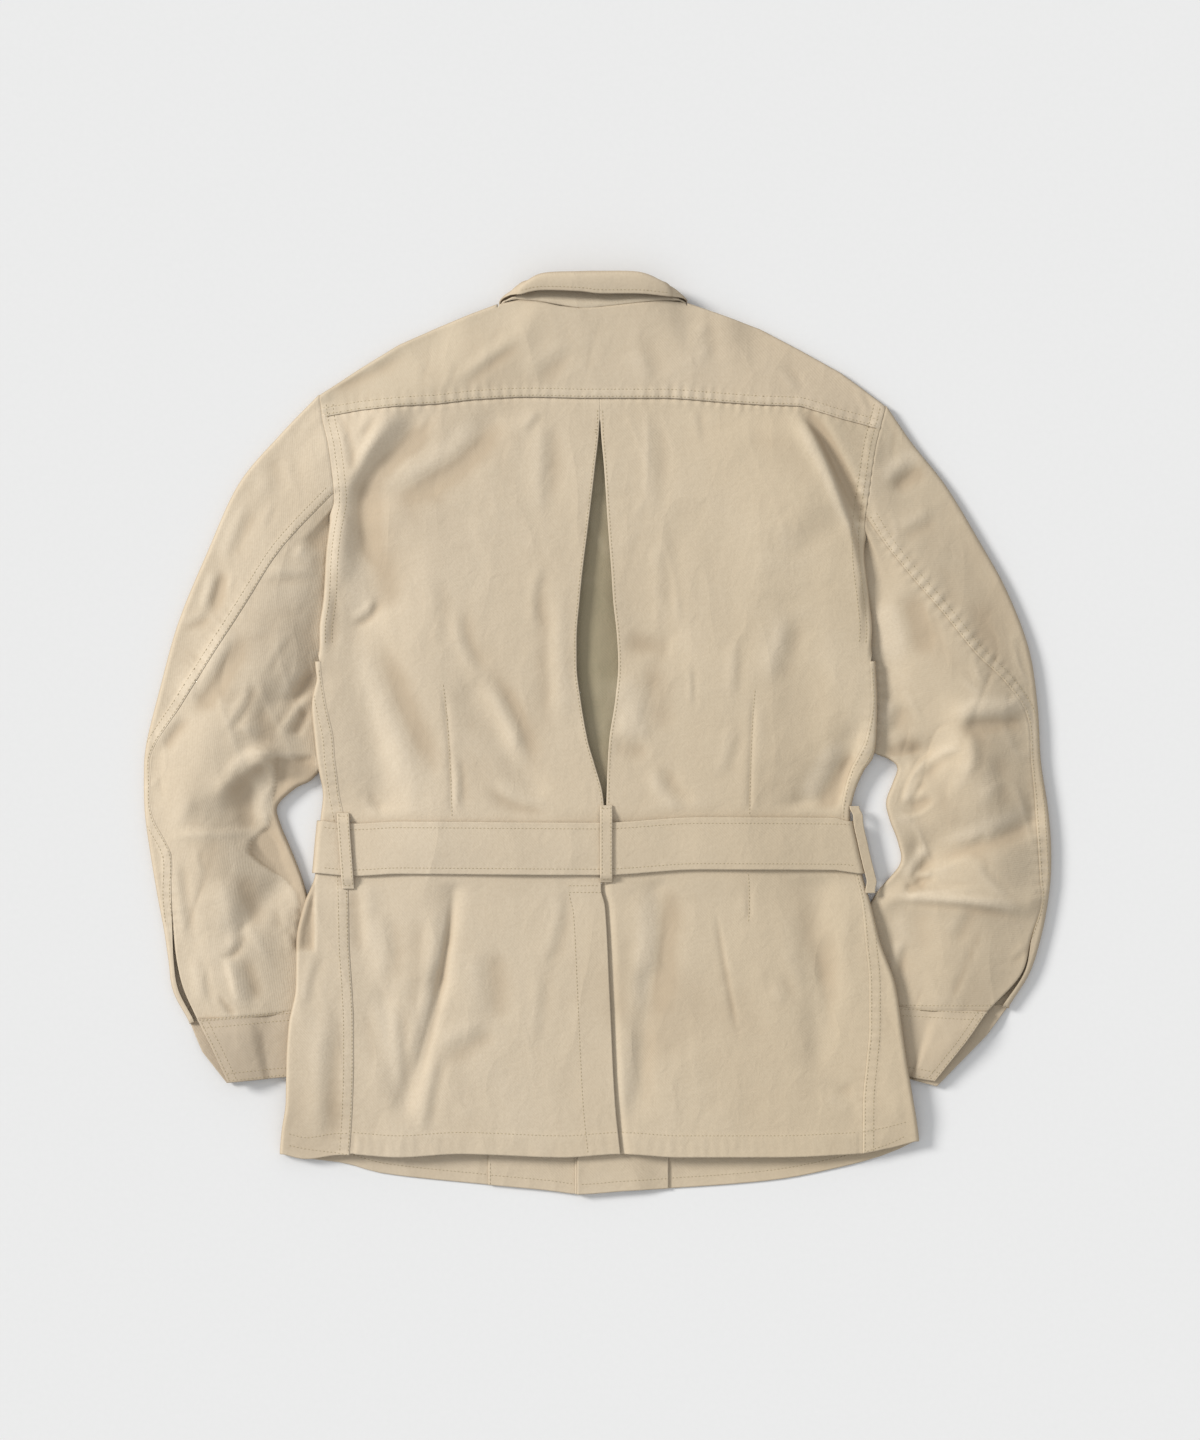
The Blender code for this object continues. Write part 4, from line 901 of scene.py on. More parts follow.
def seam_relief(x, y):
    """The felled seams: a raised band on one side, and puckers across it where the thread has drawn it in."""
    total = np.zeros(np.broadcast(x, y).shape)
    for number, (line, side, width, weight) in enumerate(SEAM_LINES):
        away, along, _ = nearest(line, x, y)
        away = away * side
        raised = smooth((away + 0.5) / 1.5) * smooth((width - away) / 2.5)
        wave = np.sin(along * 2 * math.pi / PUCKER_PITCH + 2.2 * np.sin(along / 31 + number))
        strength = 0.6 + 0.4 * np.sin(along / 47 + 2 * number)
        pucker = wave * strength * np.exp(-(((away - abs(width) / 2) / PUCKER_REACH) ** 2))
        total += weight * (SEAM_RAISE * raised + PUCKER_HEIGHT * pucker)
    return total


def dart_relief(x, y):
    """Each dart draws the cloth into a thin line, with a soft fullness on both sides."""
    total = np.zeros(x.shape)
    for dart in zip(*DARTS.values()):
        away, along, run = nearest(bend(*dart), x, y)
        grow = smooth(along / 25) * smooth((run - along) / 12)
        fullness = 0.3 * np.exp(-(((np.abs(away) - 6) / 5) ** 2))
        total += grow * (fullness - 0.7 * np.exp(-((away / 1.8) ** 2)))
    return total


def unevenness(x, y):
    """What washing and handling leave: slow swells, and finer crumples that run along or across the cloth."""
    slow = value_noise(x, y, 85, 3) + 0.5 * value_noise(0.8 * x + 0.6 * y, 0.8 * y - 0.6 * x, 42, 5)
    fine = value_noise(x, 0.45 * y, 13, 8) + 0.7 * value_noise(0.5 * x + 0.3 * y, y - 0.2 * x, 9, 9)
    crossing = value_noise(0.9 * x + 0.3 * y, 0.5 * y - 0.25 * x, 31, 11)
    crumples = (1 - np.abs(crossing)) ** 5 * smooth(0.4 + value_noise(x, y, 60, 12))
    crossing = value_noise(0.9 * x - 0.35 * y, 0.45 * y + 0.3 * x, 22, 14)
    crumples -= (1 - np.abs(crossing)) ** 5 * smooth(0.2 + value_noise(x, y, 50, 15))
    on_sleeve = smooth((np.abs(x) - 258) / 15) * smooth((255 - y) / 40) * smooth((y + 262) / 30)
    return 0.55 * slow + 0.16 * fine + (0.32 + 0.8 * on_sleeve) * crumples


def detail(x, y):
    """All the relief that the solids leave out, pressed flat under the belt."""
    x, y = np.broadcast_arrays(np.asarray(x, float), np.asarray(y, float))
    total = crease_relief(x, y) + band_relief(x, y) + inner_fold_relief(x, y) + seam_relief(x, y)
    total += dart_relief(x, y) + unevenness(x, y)
    return total * (1 - 0.9 * band(y - belt_line(x), BELT_WIDTH / 2 + 2, 10) * band(x, 255, 10))


def cloth_height(x, y):
    """The middle of the back's wall with all its relief."""
    return back_height(x, y) + detail(x, y) * smooth(side_distance(x, y) / 8)


# Sheets of cloth


def level(t, bottom, top):
    """y of a row: t runs from 0 to 1 below the straight part of the sides, to 2 along it and to 3 above."""
    low, middle, high = (np.clip(t - k, 0, 1) for k in (0, 1, 2))
    return bottom + (ROW_LOW - bottom) * low + (ROW_HIGH - ROW_LOW) * middle + (top - ROW_HIGH) * high


def seam_line(x):
    """The yoke's seam, straight from one section of the yoke to the next."""
    return np.interp(x, YOKE["lower_x"], YOKE["seam_y"])


def turned(side, y):
    """How far the back's edge has turned under beside the armhole, from 0 to 1."""
    return smooth((CURL_TOP[side] - y) / CURL_RUN) * smooth((y - UNDERARM + 8) / CURL_RUN)


def curl(side, y, count=8):
    """The back's edge beside the armhole, which turns under the fold. From its free end to the flat."""
    y = np.atleast_1d(np.asarray(y, float))[:, None]
    amount = turned(side, y)
    start = torso(SEAM[side], y) - side * (GAP / 2 + FOLD * amount + 3 * (1 - amount))
    share = steps(1, 0, count + 1)[None]
    turn = math.pi * amount * share
    x = start + side * (FOLD * np.sin(turn) + 3 * (1 - amount) * share)
    z = cloth_height(mix(x, start, amount), y) - FOLD * (1 - np.cos(turn))
    return np.stack(np.broadcast_arrays(x, y, z), axis=2)


def armhole_edge(side, y):
    """A point of the sleeve's own edge: beside the back's edge, and below it where that has turned under."""
    y = max(y, UNDERARM + CURL_RUN)
    amount, points = float(turned(side, y)), curl(side, y)[0]
    beside = max(side * point[0] for point in points) * side + side * 3 * GAP
    x = mix(beside, points[0][0], float(smooth((amount - 0.4) / 0.5)))
    return x, points[0][2] - (LAP + GAP) * float(smooth((amount - 0.1) / 0.35))


def centre_edge(side, y):
    """x of a back panel's edge at the pleat, and of the vent's two layers below it."""
    edge = pleat_edge(side, y) + side * (0.1 - 0.5 * smooth((y - PLEAT_SEWN) / 3))
    return edge if side < 0 else edge - UNDERLAP * smooth((FLAP_TOP - y) / 30)


def centre_layer(side, x, y):
    """What a panel adds beside its centre edge: the vent's lower layer lies below its flap."""
    from_slit = x - pleat_edge(-1, y)
    if side < 0:
        return 0.5 * smooth((FLAP_TOP - 42 - y) / 20) * smooth(1 + from_slit / 40)
    return -2.6 * smooth((FLAP_TOP + 11.5 - y) / 11) * smooth((9 - from_slit) / 9)


def back_panel(side):
    """A half of the back, from the outer edge to the centre, with a step where its hem is turned up."""
    t = ROWS[:, None]
    top = seam_line(side * 250.0 + 2.0) + SEAM_LAP
    edge = curl(side, level(ROWS, HEM_END, top))
    start = edge[:, -1:, 0]
    share = steps(0, 1, PANEL_COLUMNS)[None, 1:]
    y = np.broadcast_to(edge[:, :1, 1], (len(ROWS), share.size))
    for _ in range(4):  # each of x and y depends a little on the other
        x = mix(start, centre_edge(side, y), share)
        bottom = back_hem(x)
        y = level(t, bottom, seam_line(x) + SEAM_LAP)
    z = cloth_height(x, y) + centre_layer(side, x, y) + HEM_RAISE * smooth((HEM_DEPTH - y + bottom) / 2.5)
    z = z - SEAM_DROP * smooth((y - seam_line(x) + 1.6) / 2)
    inner = edge[:, 0].copy()
    inner[:, 0] += side * SEAM_LAP * smooth((UNDERARM - inner[:, 1]) / 25)
    inner[:, 2] -= SEAM_DROP
    inner[inner[:, 1] > UNDERARM - 3] = np.nan
    return np.concatenate([inner[:, None], edge, np.stack([x, y, z], axis=2)], axis=1)


def yoke_sheet():
    """The yoke, from its seam over the shoulder folds to the shoulder seams on the underside."""
    order = np.arange(len(YOKE["lower_x"]))
    place = steps(0, order[-1], YOKE_COLUMNS)
    low_x, high_x, seam_y, top_y = (
        np.interp(place, order, YOKE[key])[:, None] for key in ("lower_x", "upper_x", "seam_y", "top_y")
    )
    wraps = (low_x <= -90) | (low_x >= 79)  # on both sides of the neck
    share = steps(0, 1, 36)[None]
    x = mix(low_x, high_x, share)
    y = mix(seam_y, top_y - np.where(wraps, FOLD, GAP), share)
    z = cloth_height(x, y)
    turn = steps(0, math.pi, 9)[None, 1:]
    last_x, last_y, last_z = (value[:, -1:] for value in (x, y, z))
    wrap_x = np.broadcast_to(last_x, (len(place), turn.size))
    wrap_z = np.maximum(last_z - FOLD * (1 - np.cos(turn)), CLOTH / 2)
    wrap = np.stack([wrap_x, last_y + FOLD * np.sin(turn), wrap_z], axis=2)
    back = steps(0, YOKE_WRAP, 7)[None, 1:]
    under_x, under_y = np.broadcast_arrays(last_x, top_y - FOLD - back)
    under = np.stack([under_x, under_y, CLOTH / 2 + collar_room(under_x, under_y)], axis=2)
    folded = np.concatenate([wrap, under], axis=1)
    folded[~wraps[:, 0]] = np.nan
    return np.concatenate([np.stack([x, y, z], axis=2), folded], axis=1)


def pleat_sheet():
    """The pleat's insert: from one edge of the opening back under the panel, across the bottom and out
    again."""
    y = steps(PLEAT_BOTTOM, PLEAT_TOP, 150)[:, None]
    left, right = pleat_edge(-1, y), pleat_edge(1, y)
    sag = 5.4 + 2.2 * smooth((right - left) / 30)
    radius = 1.3

    def side(edge, out):
        reach = steps(1, PLEAT_DEPTH, 12)[None]
        x = edge + out * reach
        upper = np.stack([x, y + 0 * x, cloth_height(x, y) - 2.0 - 0.5 * reach / PLEAT_DEPTH], axis=2)
        turn = steps(0, math.pi, 6)[None, 1:]
        end_x, end_z = x[:, -1:], upper[:, -1:, 2]
        fold_x = end_x + out * radius * np.sin(turn)
        fold = np.stack([fold_x, y + 0 * fold_x, end_z - radius * (1 - np.cos(turn))], axis=2)
        inner_x = edge + out * steps(PLEAT_DEPTH - 3, 8, 8)[None]
        level_z = mix(end_z - 2 * radius, cloth_height(inner_x, y) - sag, steps(0.1, 1, 8)[None])
        inner = np.stack([inner_x, y + 0 * inner_x, level_z], axis=2)
        return np.concatenate([upper, fold, inner], axis=1)

    x = mix(left - 6, right + 6, steps(0, 1, 16)[None])
    ripple = 0.5 * value_noise(3 * x, y, 40, 21)
    middle = np.stack([x, y + 0 * x, cloth_height(x, y) - sag + ripple], axis=2)
    return np.concatenate([side(left, -1), middle, side(right, 1)[:, ::-1]], axis=1)


def front_level(t, x, on_top):
    """y of a row of a front at x. on_top is 1 on the strip that shows beside the back, and 0 underneath."""
    return level(t, mix(front_hem("under", x), front_hem("top", x), on_top), front_top(x))


def front_top(x):
    """The fronts' upper edge on the underside: the shoulder seams and the neckline between them."""
    shoulder = np.interp(x, YOKE["upper_x"], YOKE["top_y"]) - FOLD - YOKE_WRAP - 2 * GAP
    neckline = NECK_DROP + 50 * (np.abs(x) / NECK_HALF_WIDTH) ** 2
    return np.where(np.abs(x) < NECK_HALF_WIDTH, np.minimum(neckline, shoulder), shoulder)


def front_panel(side):
    """A front and its facing: from the side seam over the side fold, across the underside and past the
    centre."""
    closing = CLOSING_LEFT_EDGE if side < 0 else CLOSING_RIGHT_EDGE
    facing = FACING_LEFT_EDGE if side < 0 else FACING_RIGHT_EDGE
    t = ROWS[:, None]
    y_row = level(ROWS, -380.0, NECK_DROP)[:, None]
    low = y_row < UNDERARM
    high = ~low[:, 0]
    seam = torso(SEAM[side], y_row) + side * GAP / 2
    narrow = FOLD + 6 * smooth((y_row - UNDERARM + 45) / 45)
    start = torso("fold_" + SIDE_NAME[side], y_row) - side * narrow
    start = side * np.maximum(side * start, side * seam + 1.5)
    x = mix(seam, start, steps(0, 1, STRIP_COLUMNS)[None, :-1])
    y = front_level(t, x, 1)
    strip = np.stack([x, y, cloth_height(x, y)], axis=2)
    turn = steps(0, math.pi, 10)[None]
    y = front_level(t, start, 1 - turn / math.pi)
    top = mix(flat_height(start, y), cloth_height(start, y), (1 + np.cos(turn)) / 2)
    fold = np.stack([start + side * FOLD * np.sin(turn), y, top - FOLD * (1 - np.cos(turn))], axis=2)
    on_side = np.concatenate([strip, fold], axis=1)
    y = y_row
    for _ in range(5):  # the armhole's x depends on y, and the row's y on x
        at_arm = armhole(side, y) - side * GAP
        y = np.where(low, y_row, front_level(t, at_arm, 0))
    start = np.where(low, start, at_arm)
    on_side[high, :-1] = np.nan
    on_side[high, -1] = front_points(t[high], start[high], side)[:, 0]
    across = mix(start, facing, steps(0, 1, 16)[None, 1:])
    lap = np.broadcast_to(mix(facing, closing, steps(0, 1, 11)[None, 1:]), (len(ROWS), 10))
    underneath = front_points(t, np.concatenate([across, lap], axis=1), side)
    grid = np.concatenate([on_side, underneath], axis=1)
    inside = grid[:, -11:].copy()
    inside[..., 2] += LAP
    inside[:, -1] += (side * 2.0, 0, 0.8)
    return grid, inside


def front_points(t, x, side):
    """Points of a front on the underside, where the right one rises over the left one at the centre."""
    y = front_level(t, x, 0)
    over = 0 if side < 0 else RIDE_OVER * smooth((61 - x) / 30)
    return np.stack([x, y, front_height(x, y) + over], axis=2)


def square_to(points, away_from):
    """For each point of a sleeve's edge, the level direction square to that edge and away from the other."""
    along = np.gradient(points, axis=0)
    square = np.stack([along[:, 1], -along[:, 0]], axis=1)
    square /= np.linalg.norm(square, axis=1)[:, None]
    return square * np.sign(np.sum(square * (points - away_from), axis=1))[:, None]


def sleeve_section(side, row, first, outer, inner, outward, inward):
    """Two lists of points: the top sleeve from the back seam round the outer edge, and the under sleeve from
    the same seam over to the inner edge. A point's fourth number is its share of the cloth's relief."""
    seam = np.array([row["seam_x"], row["seam_y"]])
    length = np.linalg.norm(inner - outer)
    way = (inner - outer) / length
    outer_top, inner_top = outer - outward * row["outer_r"], inner - inward * row["inner_r"]
    to_seam = (seam - outer_top) / max(np.linalg.norm(seam - outer_top), 1e-6)
    from_seam = (inner_top - seam) / np.linalg.norm(inner_top - seam)
    seam_out = mix(seam - to_seam * GAP, outer_top + way * 0.8, row["open"])
    levels, lowest = np.array(ARMHOLE_LEVELS[side], float), np.array(UNDERSIDE_LEVELS[side], float)
    fine = np.interp(steps(0, 1, UNDER_COLUMNS), steps(0, 1, len(levels)), levels)

    def raised(point):
        share = float(np.dot(point - outer, way) / length)
        radius = mix(row["outer_r"], row["inner_r"], share)
        bulge = smooth(share / 0.42) * smooth(((1 - share) * length - 16) / (0.42 * length))
        return (*point, CLOTH / 2 + 2 * radius + row["rise"] * bulge, smooth(min(share, 1 - share) / 0.12))

    def at_armhole(y):
        x, z = armhole_edge(side, y)
        return (x, y, z, 0.0)

    bottom = []
    lap, drop = SEAM_LAP * (1 - row["open"]), SEAM_DROP * (1 - row["open"]) + 0.3
    if first:
        top = [at_armhole(y) for y in steps(seam[1] + GAP, outer_top[1], TOP_COLUMNS)]
        hidden = at_armhole(fine[0] + SEAM_LAP)
        under = [(hidden[0], hidden[1], hidden[2] - drop, 0.0)] + [at_armhole(y) for y in fine[:-1]]
        under.append((*inner_top, CLOTH / 2 + 2 * row["inner_r"], 0.0))
        bottom.append((*outer_top, CLOTH / 2, 0.0))
        for y in lowest[1:-1]:
            x = float(armhole(side, y)) + side * 6 * GAP
            lift = 0.7 * float(floor_lift(x, y) * smooth((y - 80) / 30))
            bottom.append((x, y, CLOTH / 2 + lift, 0.0))
        bottom.append((*inner_top, CLOTH / 2, 0.0))
    else:
        top = [raised(mix(seam_out, outer_top, share)) for share in steps(0, 1, TOP_COLUMNS)]
        shares = (fine[0] - fine) / (fine[0] - fine[-1])
        hidden = raised(seam - to_seam * lap)
        under = [(hidden[0], hidden[1], hidden[2] - drop, hidden[3])]
        under += [raised(mix(seam + from_seam * GAP, inner_top, share)) for share in shares]
        for share in (lowest[0] - lowest) / (lowest[0] - lowest[-1]):
            bottom.append((*mix(outer_top, inner_top, share), CLOTH / 2, 0.0))
    split = round(FRONT_SEAM * (len(bottom) - 1))
    round_outer, round_inner = [], []
    for turn in steps(0, math.pi, 9)[1:-1]:
        down = (1 - math.cos(turn)) / 2
        place = outer_top + outward * row["outer_r"] * math.sin(turn)
        round_outer.append((*place, mix(top[-1][2], bottom[0][2], down), 0.0))
        place = inner_top + inward * row["inner_r"] * math.sin(turn)
        round_inner.append((*place, mix(under[-1][2], bottom[-1][2], down), 0.0))
    top = np.array(top + round_outer + bottom[: split + 1])
    under = np.array(under + round_inner + bottom[split:][::-1])
    top[-1, :2] -= way * GAP / 2
    under[-1, :2] += way * GAP / 2
    return top, under


def between(rows, parts):
    """More rows, on smooth curves through the given ones."""
    padded = np.concatenate([2 * rows[:1] - rows[1:2], rows, 2 * rows[-1:] - rows[-2:-1]])
    made = []
    for a, b, c, d in zip(padded, padded[1:], padded[2:], padded[3:]):
        for t in steps(0, 1, parts + 1)[:-1]:
            bent = (2 * a - 5 * b + 4 * c - d) * t**2 + (3 * b - a - 3 * c + d) * t**3
            made.append((2 * b + (c - a) * t + bent) / 2)
    return np.array(made + [rows[-1]])


def sleeve_sheets(side):
    """A sleeve's top sheet and its under sheet. Each starts hidden behind the armhole and ends under the
    cuff."""
    rows = SLEEVES[side]
    outer, inner = places(rows, "outer"), places(rows, "inner")
    outward, inward = square_to(outer, inner), square_to(inner, outer)
    outward[0] = (0.0, 1.0)
    sections = []
    for i in range(len(outer)):
        row = {key: float(column[i]) for key, column in rows.items()}
        sections.append(sleeve_section(side, row, i == 0, outer[i], inner[i], outward[i], inward[i]))
    sheets = []
    for part in (0, 1):
        grid = between(np.array([section[part] for section in sections]), SLEEVE_PARTS)
        x, y, share = grid[..., 0], grid[..., 1], grid[..., 3]
        height = grid[..., 2] + share * (fold_relief(x, y) + detail(x, y))
        lowest = np.where(share > 0, 1.5 * CLOTH + GAP, CLOTH / 2)
        sheet = np.stack([x, y, np.maximum(height, lowest)], axis=2)
        ends = [sheet[0].copy(), sheet[-1].copy()]
        ends[0][:, 0] -= side * SEAM_LAP
        ends[1][:, :2] += SEAM_LAP * unit(outer[-1] + inner[-1] - outer[-2] - inner[-2])
        for end in ends:
            end[:, 2] += np.where(end[:, 2] > 2 * CLOTH, -SEAM_DROP, SEAM_DROP)
        sheets.append(np.concatenate([ends[0][None], sheet, ends[1][None]]))
    return sheets


def cuff_sheet(rows):
    """A cuff: its upper layer from the free end to the inner fold, round it, and the lower layer out to its
    own end."""
    upper_shares, lower_shares = (
        np.interp(steps(0, 1, 37), steps(0, 1, len(shares)), shares) for shares in (CUFF_UPPER, CUFF_LOWER)
    )
    turns = steps(0, math.pi, 9)[1:-1]
    sections = []
    for i, rise in enumerate(rows["rise"]):
        lower, upper, inner = (places(rows, name)[i] for name in ("lower", "upper", "inner"))
        way = unit(inner - upper)
        down = np.array([0, -CUFF_SEAM_GAP]) if i == 0 else np.zeros(2)
        centre = inner - way * CUFF_FOLD
        section = []
        for share in upper_shares:
            bulge = smooth(((1 - share) * np.linalg.norm(upper - centre) - 36) / 28)
            height = DOUBLE / 2 + 2 * CUFF_FOLD + rise * bulge
            section.append((*(mix(upper, centre, share) + down), height))
        for turn in turns:
            place = centre + way * CUFF_FOLD * math.sin(turn) + down
            section.append((*place, DOUBLE / 2 + CUFF_FOLD * (1 + math.cos(turn))))
        for share in lower_shares:
            section.append((*(mix(centre, lower, share) + down), DOUBLE / 2))
        sections.append(np.array(section))
    shares = steps(0, 1, 12)[:-1, None, None]
    parts = [mix(a, b, shares) for a, b in zip(sections[:-1], sections[1:])]
    grid = np.concatenate(parts + [sections[-1][None]])
    below = steps(0, 1, len(grid))[:, None]
    out_along = np.concatenate((1 - upper_shares, np.zeros(len(turns)), lower_shares))
    grid[..., 2] += CUFF_LIFT * smooth(below / 0.35) * smooth((out_along - 0.46) / 0.12)
    on_top = np.arange(len(out_along)) < len(upper_shares)
    grid[..., 2] += 0.8 * on_top * unevenness(grid[..., 0], grid[..., 1])
    return grid


def collar_sheets():
    """The stand and the fall of the collar, as two sheets that meet at the start of the roll."""
    columns = between(np.stack(list(COLLAR.values()), axis=1), COLLAR_PARTS)
    seams, rolls, edges, bulges = (columns[:, k : k + 3] for k in (0, 3, 6, 9))
    high = smooth((edges[:, 2] - 4) / 18)[:, None]
    edges, bulges = edges - high * FALL_SINKS, bulges - high * BULGE_SINKS
    along = np.gradient(rolls, axis=0)
    stand, fall = [], []
    for seam, roll, edge, bulge, line in zip(seams, rolls, edges, bulges, along):
        up = unit(roll - seam)
        over = unit(np.cross(line, up))
        off = unit(edge - roll + 4 * bulge)
        turn = math.atan2(float(np.dot(off, over)), float(np.dot(off, up))) % (2 * math.pi)
        radius = ROLL_RADIUS + 1.3 * smooth((roll[1] - 385) / 15)
        clear = 2 * GAP + ROLL_CLEARANCE * (1 - abs(float(over[2])))
        lapped = seam - up * 1.2 - np.array([0, 0, 2.0])
        stand.append([lapped] + [mix(seam, roll, share) for share in steps(0, 0.8, 6)] + [roll - up * clear])
        arc = [
            roll + over * radius * (1 - math.cos(angle)) + up * radius * math.sin(angle)
            for angle in steps(clear / radius, turn, 9)
        ]
        shares = steps(0, 1, 15)[1:]
        fall.append(arc + [mix(arc[-1], edge, share) + bulge * 4 * share * (1 - share) for share in shares])
    return np.array(stand), np.array(fall)


def belt_sheet():
    """The belt: from the buckle under the fronts, round the left side, over the back, round the right side
    and back under the fronts, where its tongue lies on the buckle."""
    across = steps(-BELT_WIDTH / 2, BELT_WIDTH / 2, BELT_COLUMNS)
    low = DOUBLE / 2

    def flat(x, height):
        return [(x, float(belt_line(x)) + off, height) for off in across]

    def turn(side, shares):
        """Round a side of the body: a share of 0 is on the back and 1 is underneath."""
        rows = []
        for share in shares:
            y = belt_line(side * 250.0) + across
            turn_x = torso("fold_" + SIDE_NAME[side], y) - side * FOLD
            top = flat_height(turn_x, y) + BELT_LAYER
            height = mix(top, low, (1 - math.cos(math.pi * share)) / 2)
            rows.append(np.stack([turn_x + side * BELT_TURN * math.sin(math.pi * share), y, height], axis=1))
        return rows

    grid = [flat(x, low) for x in steps(-BUCKLE_HALF - 2 * GAP, -215.0, 24)]
    grid += turn(-1, steps(1, 0, 13))
    for x in steps(-240, 213, 150):
        y = belt_line(x) + across
        wave = 0.6 * (value_noise(x + 0.4 * y, 1.2 * y, 30, 30) + 1) * band(x, 200, 25)
        grid.append(np.stack([x + 0 * y, y, flat_height(x, y) + BELT_LAYER + wave], axis=1))
    grid += turn(1, steps(0, 1, 13))
    grid += [flat(x, low + TONGUE_RISE * smooth((84 - x) / 30)) for x in steps(190.0, 52.0, 20)]
    grid += [flat(x, low + TONGUE_RISE) for x in steps(45.0, -56.0, 14)]
    return np.array(grid, dtype=float)


def loop_sheet(x_top, y_top, x_bottom, y_bottom):
    """A belt loop, sewn to the back above and below the belt and lying over it."""
    belt_top = float(belt_line(x_top)) + BELT_WIDTH / 2 + 1
    belt_bottom = belt_top - BELT_WIDTH - 2
    y = steps(y_top, y_bottom, 40)[:, None]
    over = smooth((y_top - y) / (y_top - belt_top)) * smooth((y - y_bottom) / (belt_bottom - y_bottom))
    middle = mix(x_top, x_bottom, (y_top - y) / (y_top - y_bottom))
    x = middle + steps(-LOOP_WIDTH / 2, LOOP_WIDTH / 2, 7)[None]
    on_cloth = cloth_height(x, y) + CLOTH + GAP
    on_belt = flat_height(x, y) + BELT_LAYER + DOUBLE / 2 + 2 * GAP + CLOTH / 2 + 0.9
    return np.stack([x, y + 0 * x, mix(on_cloth, on_belt, over)], axis=2)


def right_loop_sheet():
    """The right loop stands on its edge outside the belt's turn, as the jacket's right side has rolled
    over."""
    share = steps(0, 1, 40)[:, None]
    y = mix(-66.0, -144.0, share)
    stand = RIGHT_LOOP_STAND * smooth(share / 0.12) * smooth((1 - share) / 0.16)
    fold = torso("fold_right", y)
    middle_z = flat_height(fold - FOLD, y) - FOLD
    across = steps(0, 2, 7)[None]
    x = fold + CLOTH + GAP + stand - 3 + 4.4 * across
    return np.stack([x, y + 0 * across, middle_z + 4.5 - 0.8 * across], axis=2)


SEAM_LINES = seam_lines()


# Materials


def colour(code):
    """An sRGB hex value as linear red, green, blue and an alpha of 1."""
    values = [int(code[k : k + 2], 16) / 255 for k in (1, 3, 5)]
    return (*(v / 12.92 if v <= 0.04045 else ((v + 0.055) / 1.055) ** 2.4 for v in values), 1)


def add(material, kind, settings=None, links=None):
    """A node with its settings and links. A key that is one of the node's own properties is set on the node,
    and any other names an input."""
    node = material.node_tree.nodes.new(kind)
    for key, value in (settings or {}).items():
        if isinstance(key, str) and hasattr(node, key):
            setattr(node, key, value)
        else:
            node.inputs[key].default_value = value
    for key, source in (links or {}).items():
        material.node_tree.links.new(source, node.inputs[key])
    return node


def new_material(name):
    """An empty material, and the place on the object that its patterns start from."""
    material = bpy.data.materials.new(name)
    material.use_nodes = True
    material.node_tree.nodes.clear()
    return material, add(material, "ShaderNodeTexCoord").outputs["Object"]


def finish_material(material, settings, links):
    """The material with its shader and its output added."""
    shader = add(material, "ShaderNodeBsdfPrincipled", settings, links)
    add(material, "ShaderNodeOutputMaterial", links={"Surface": shader.outputs[0]})
    return material


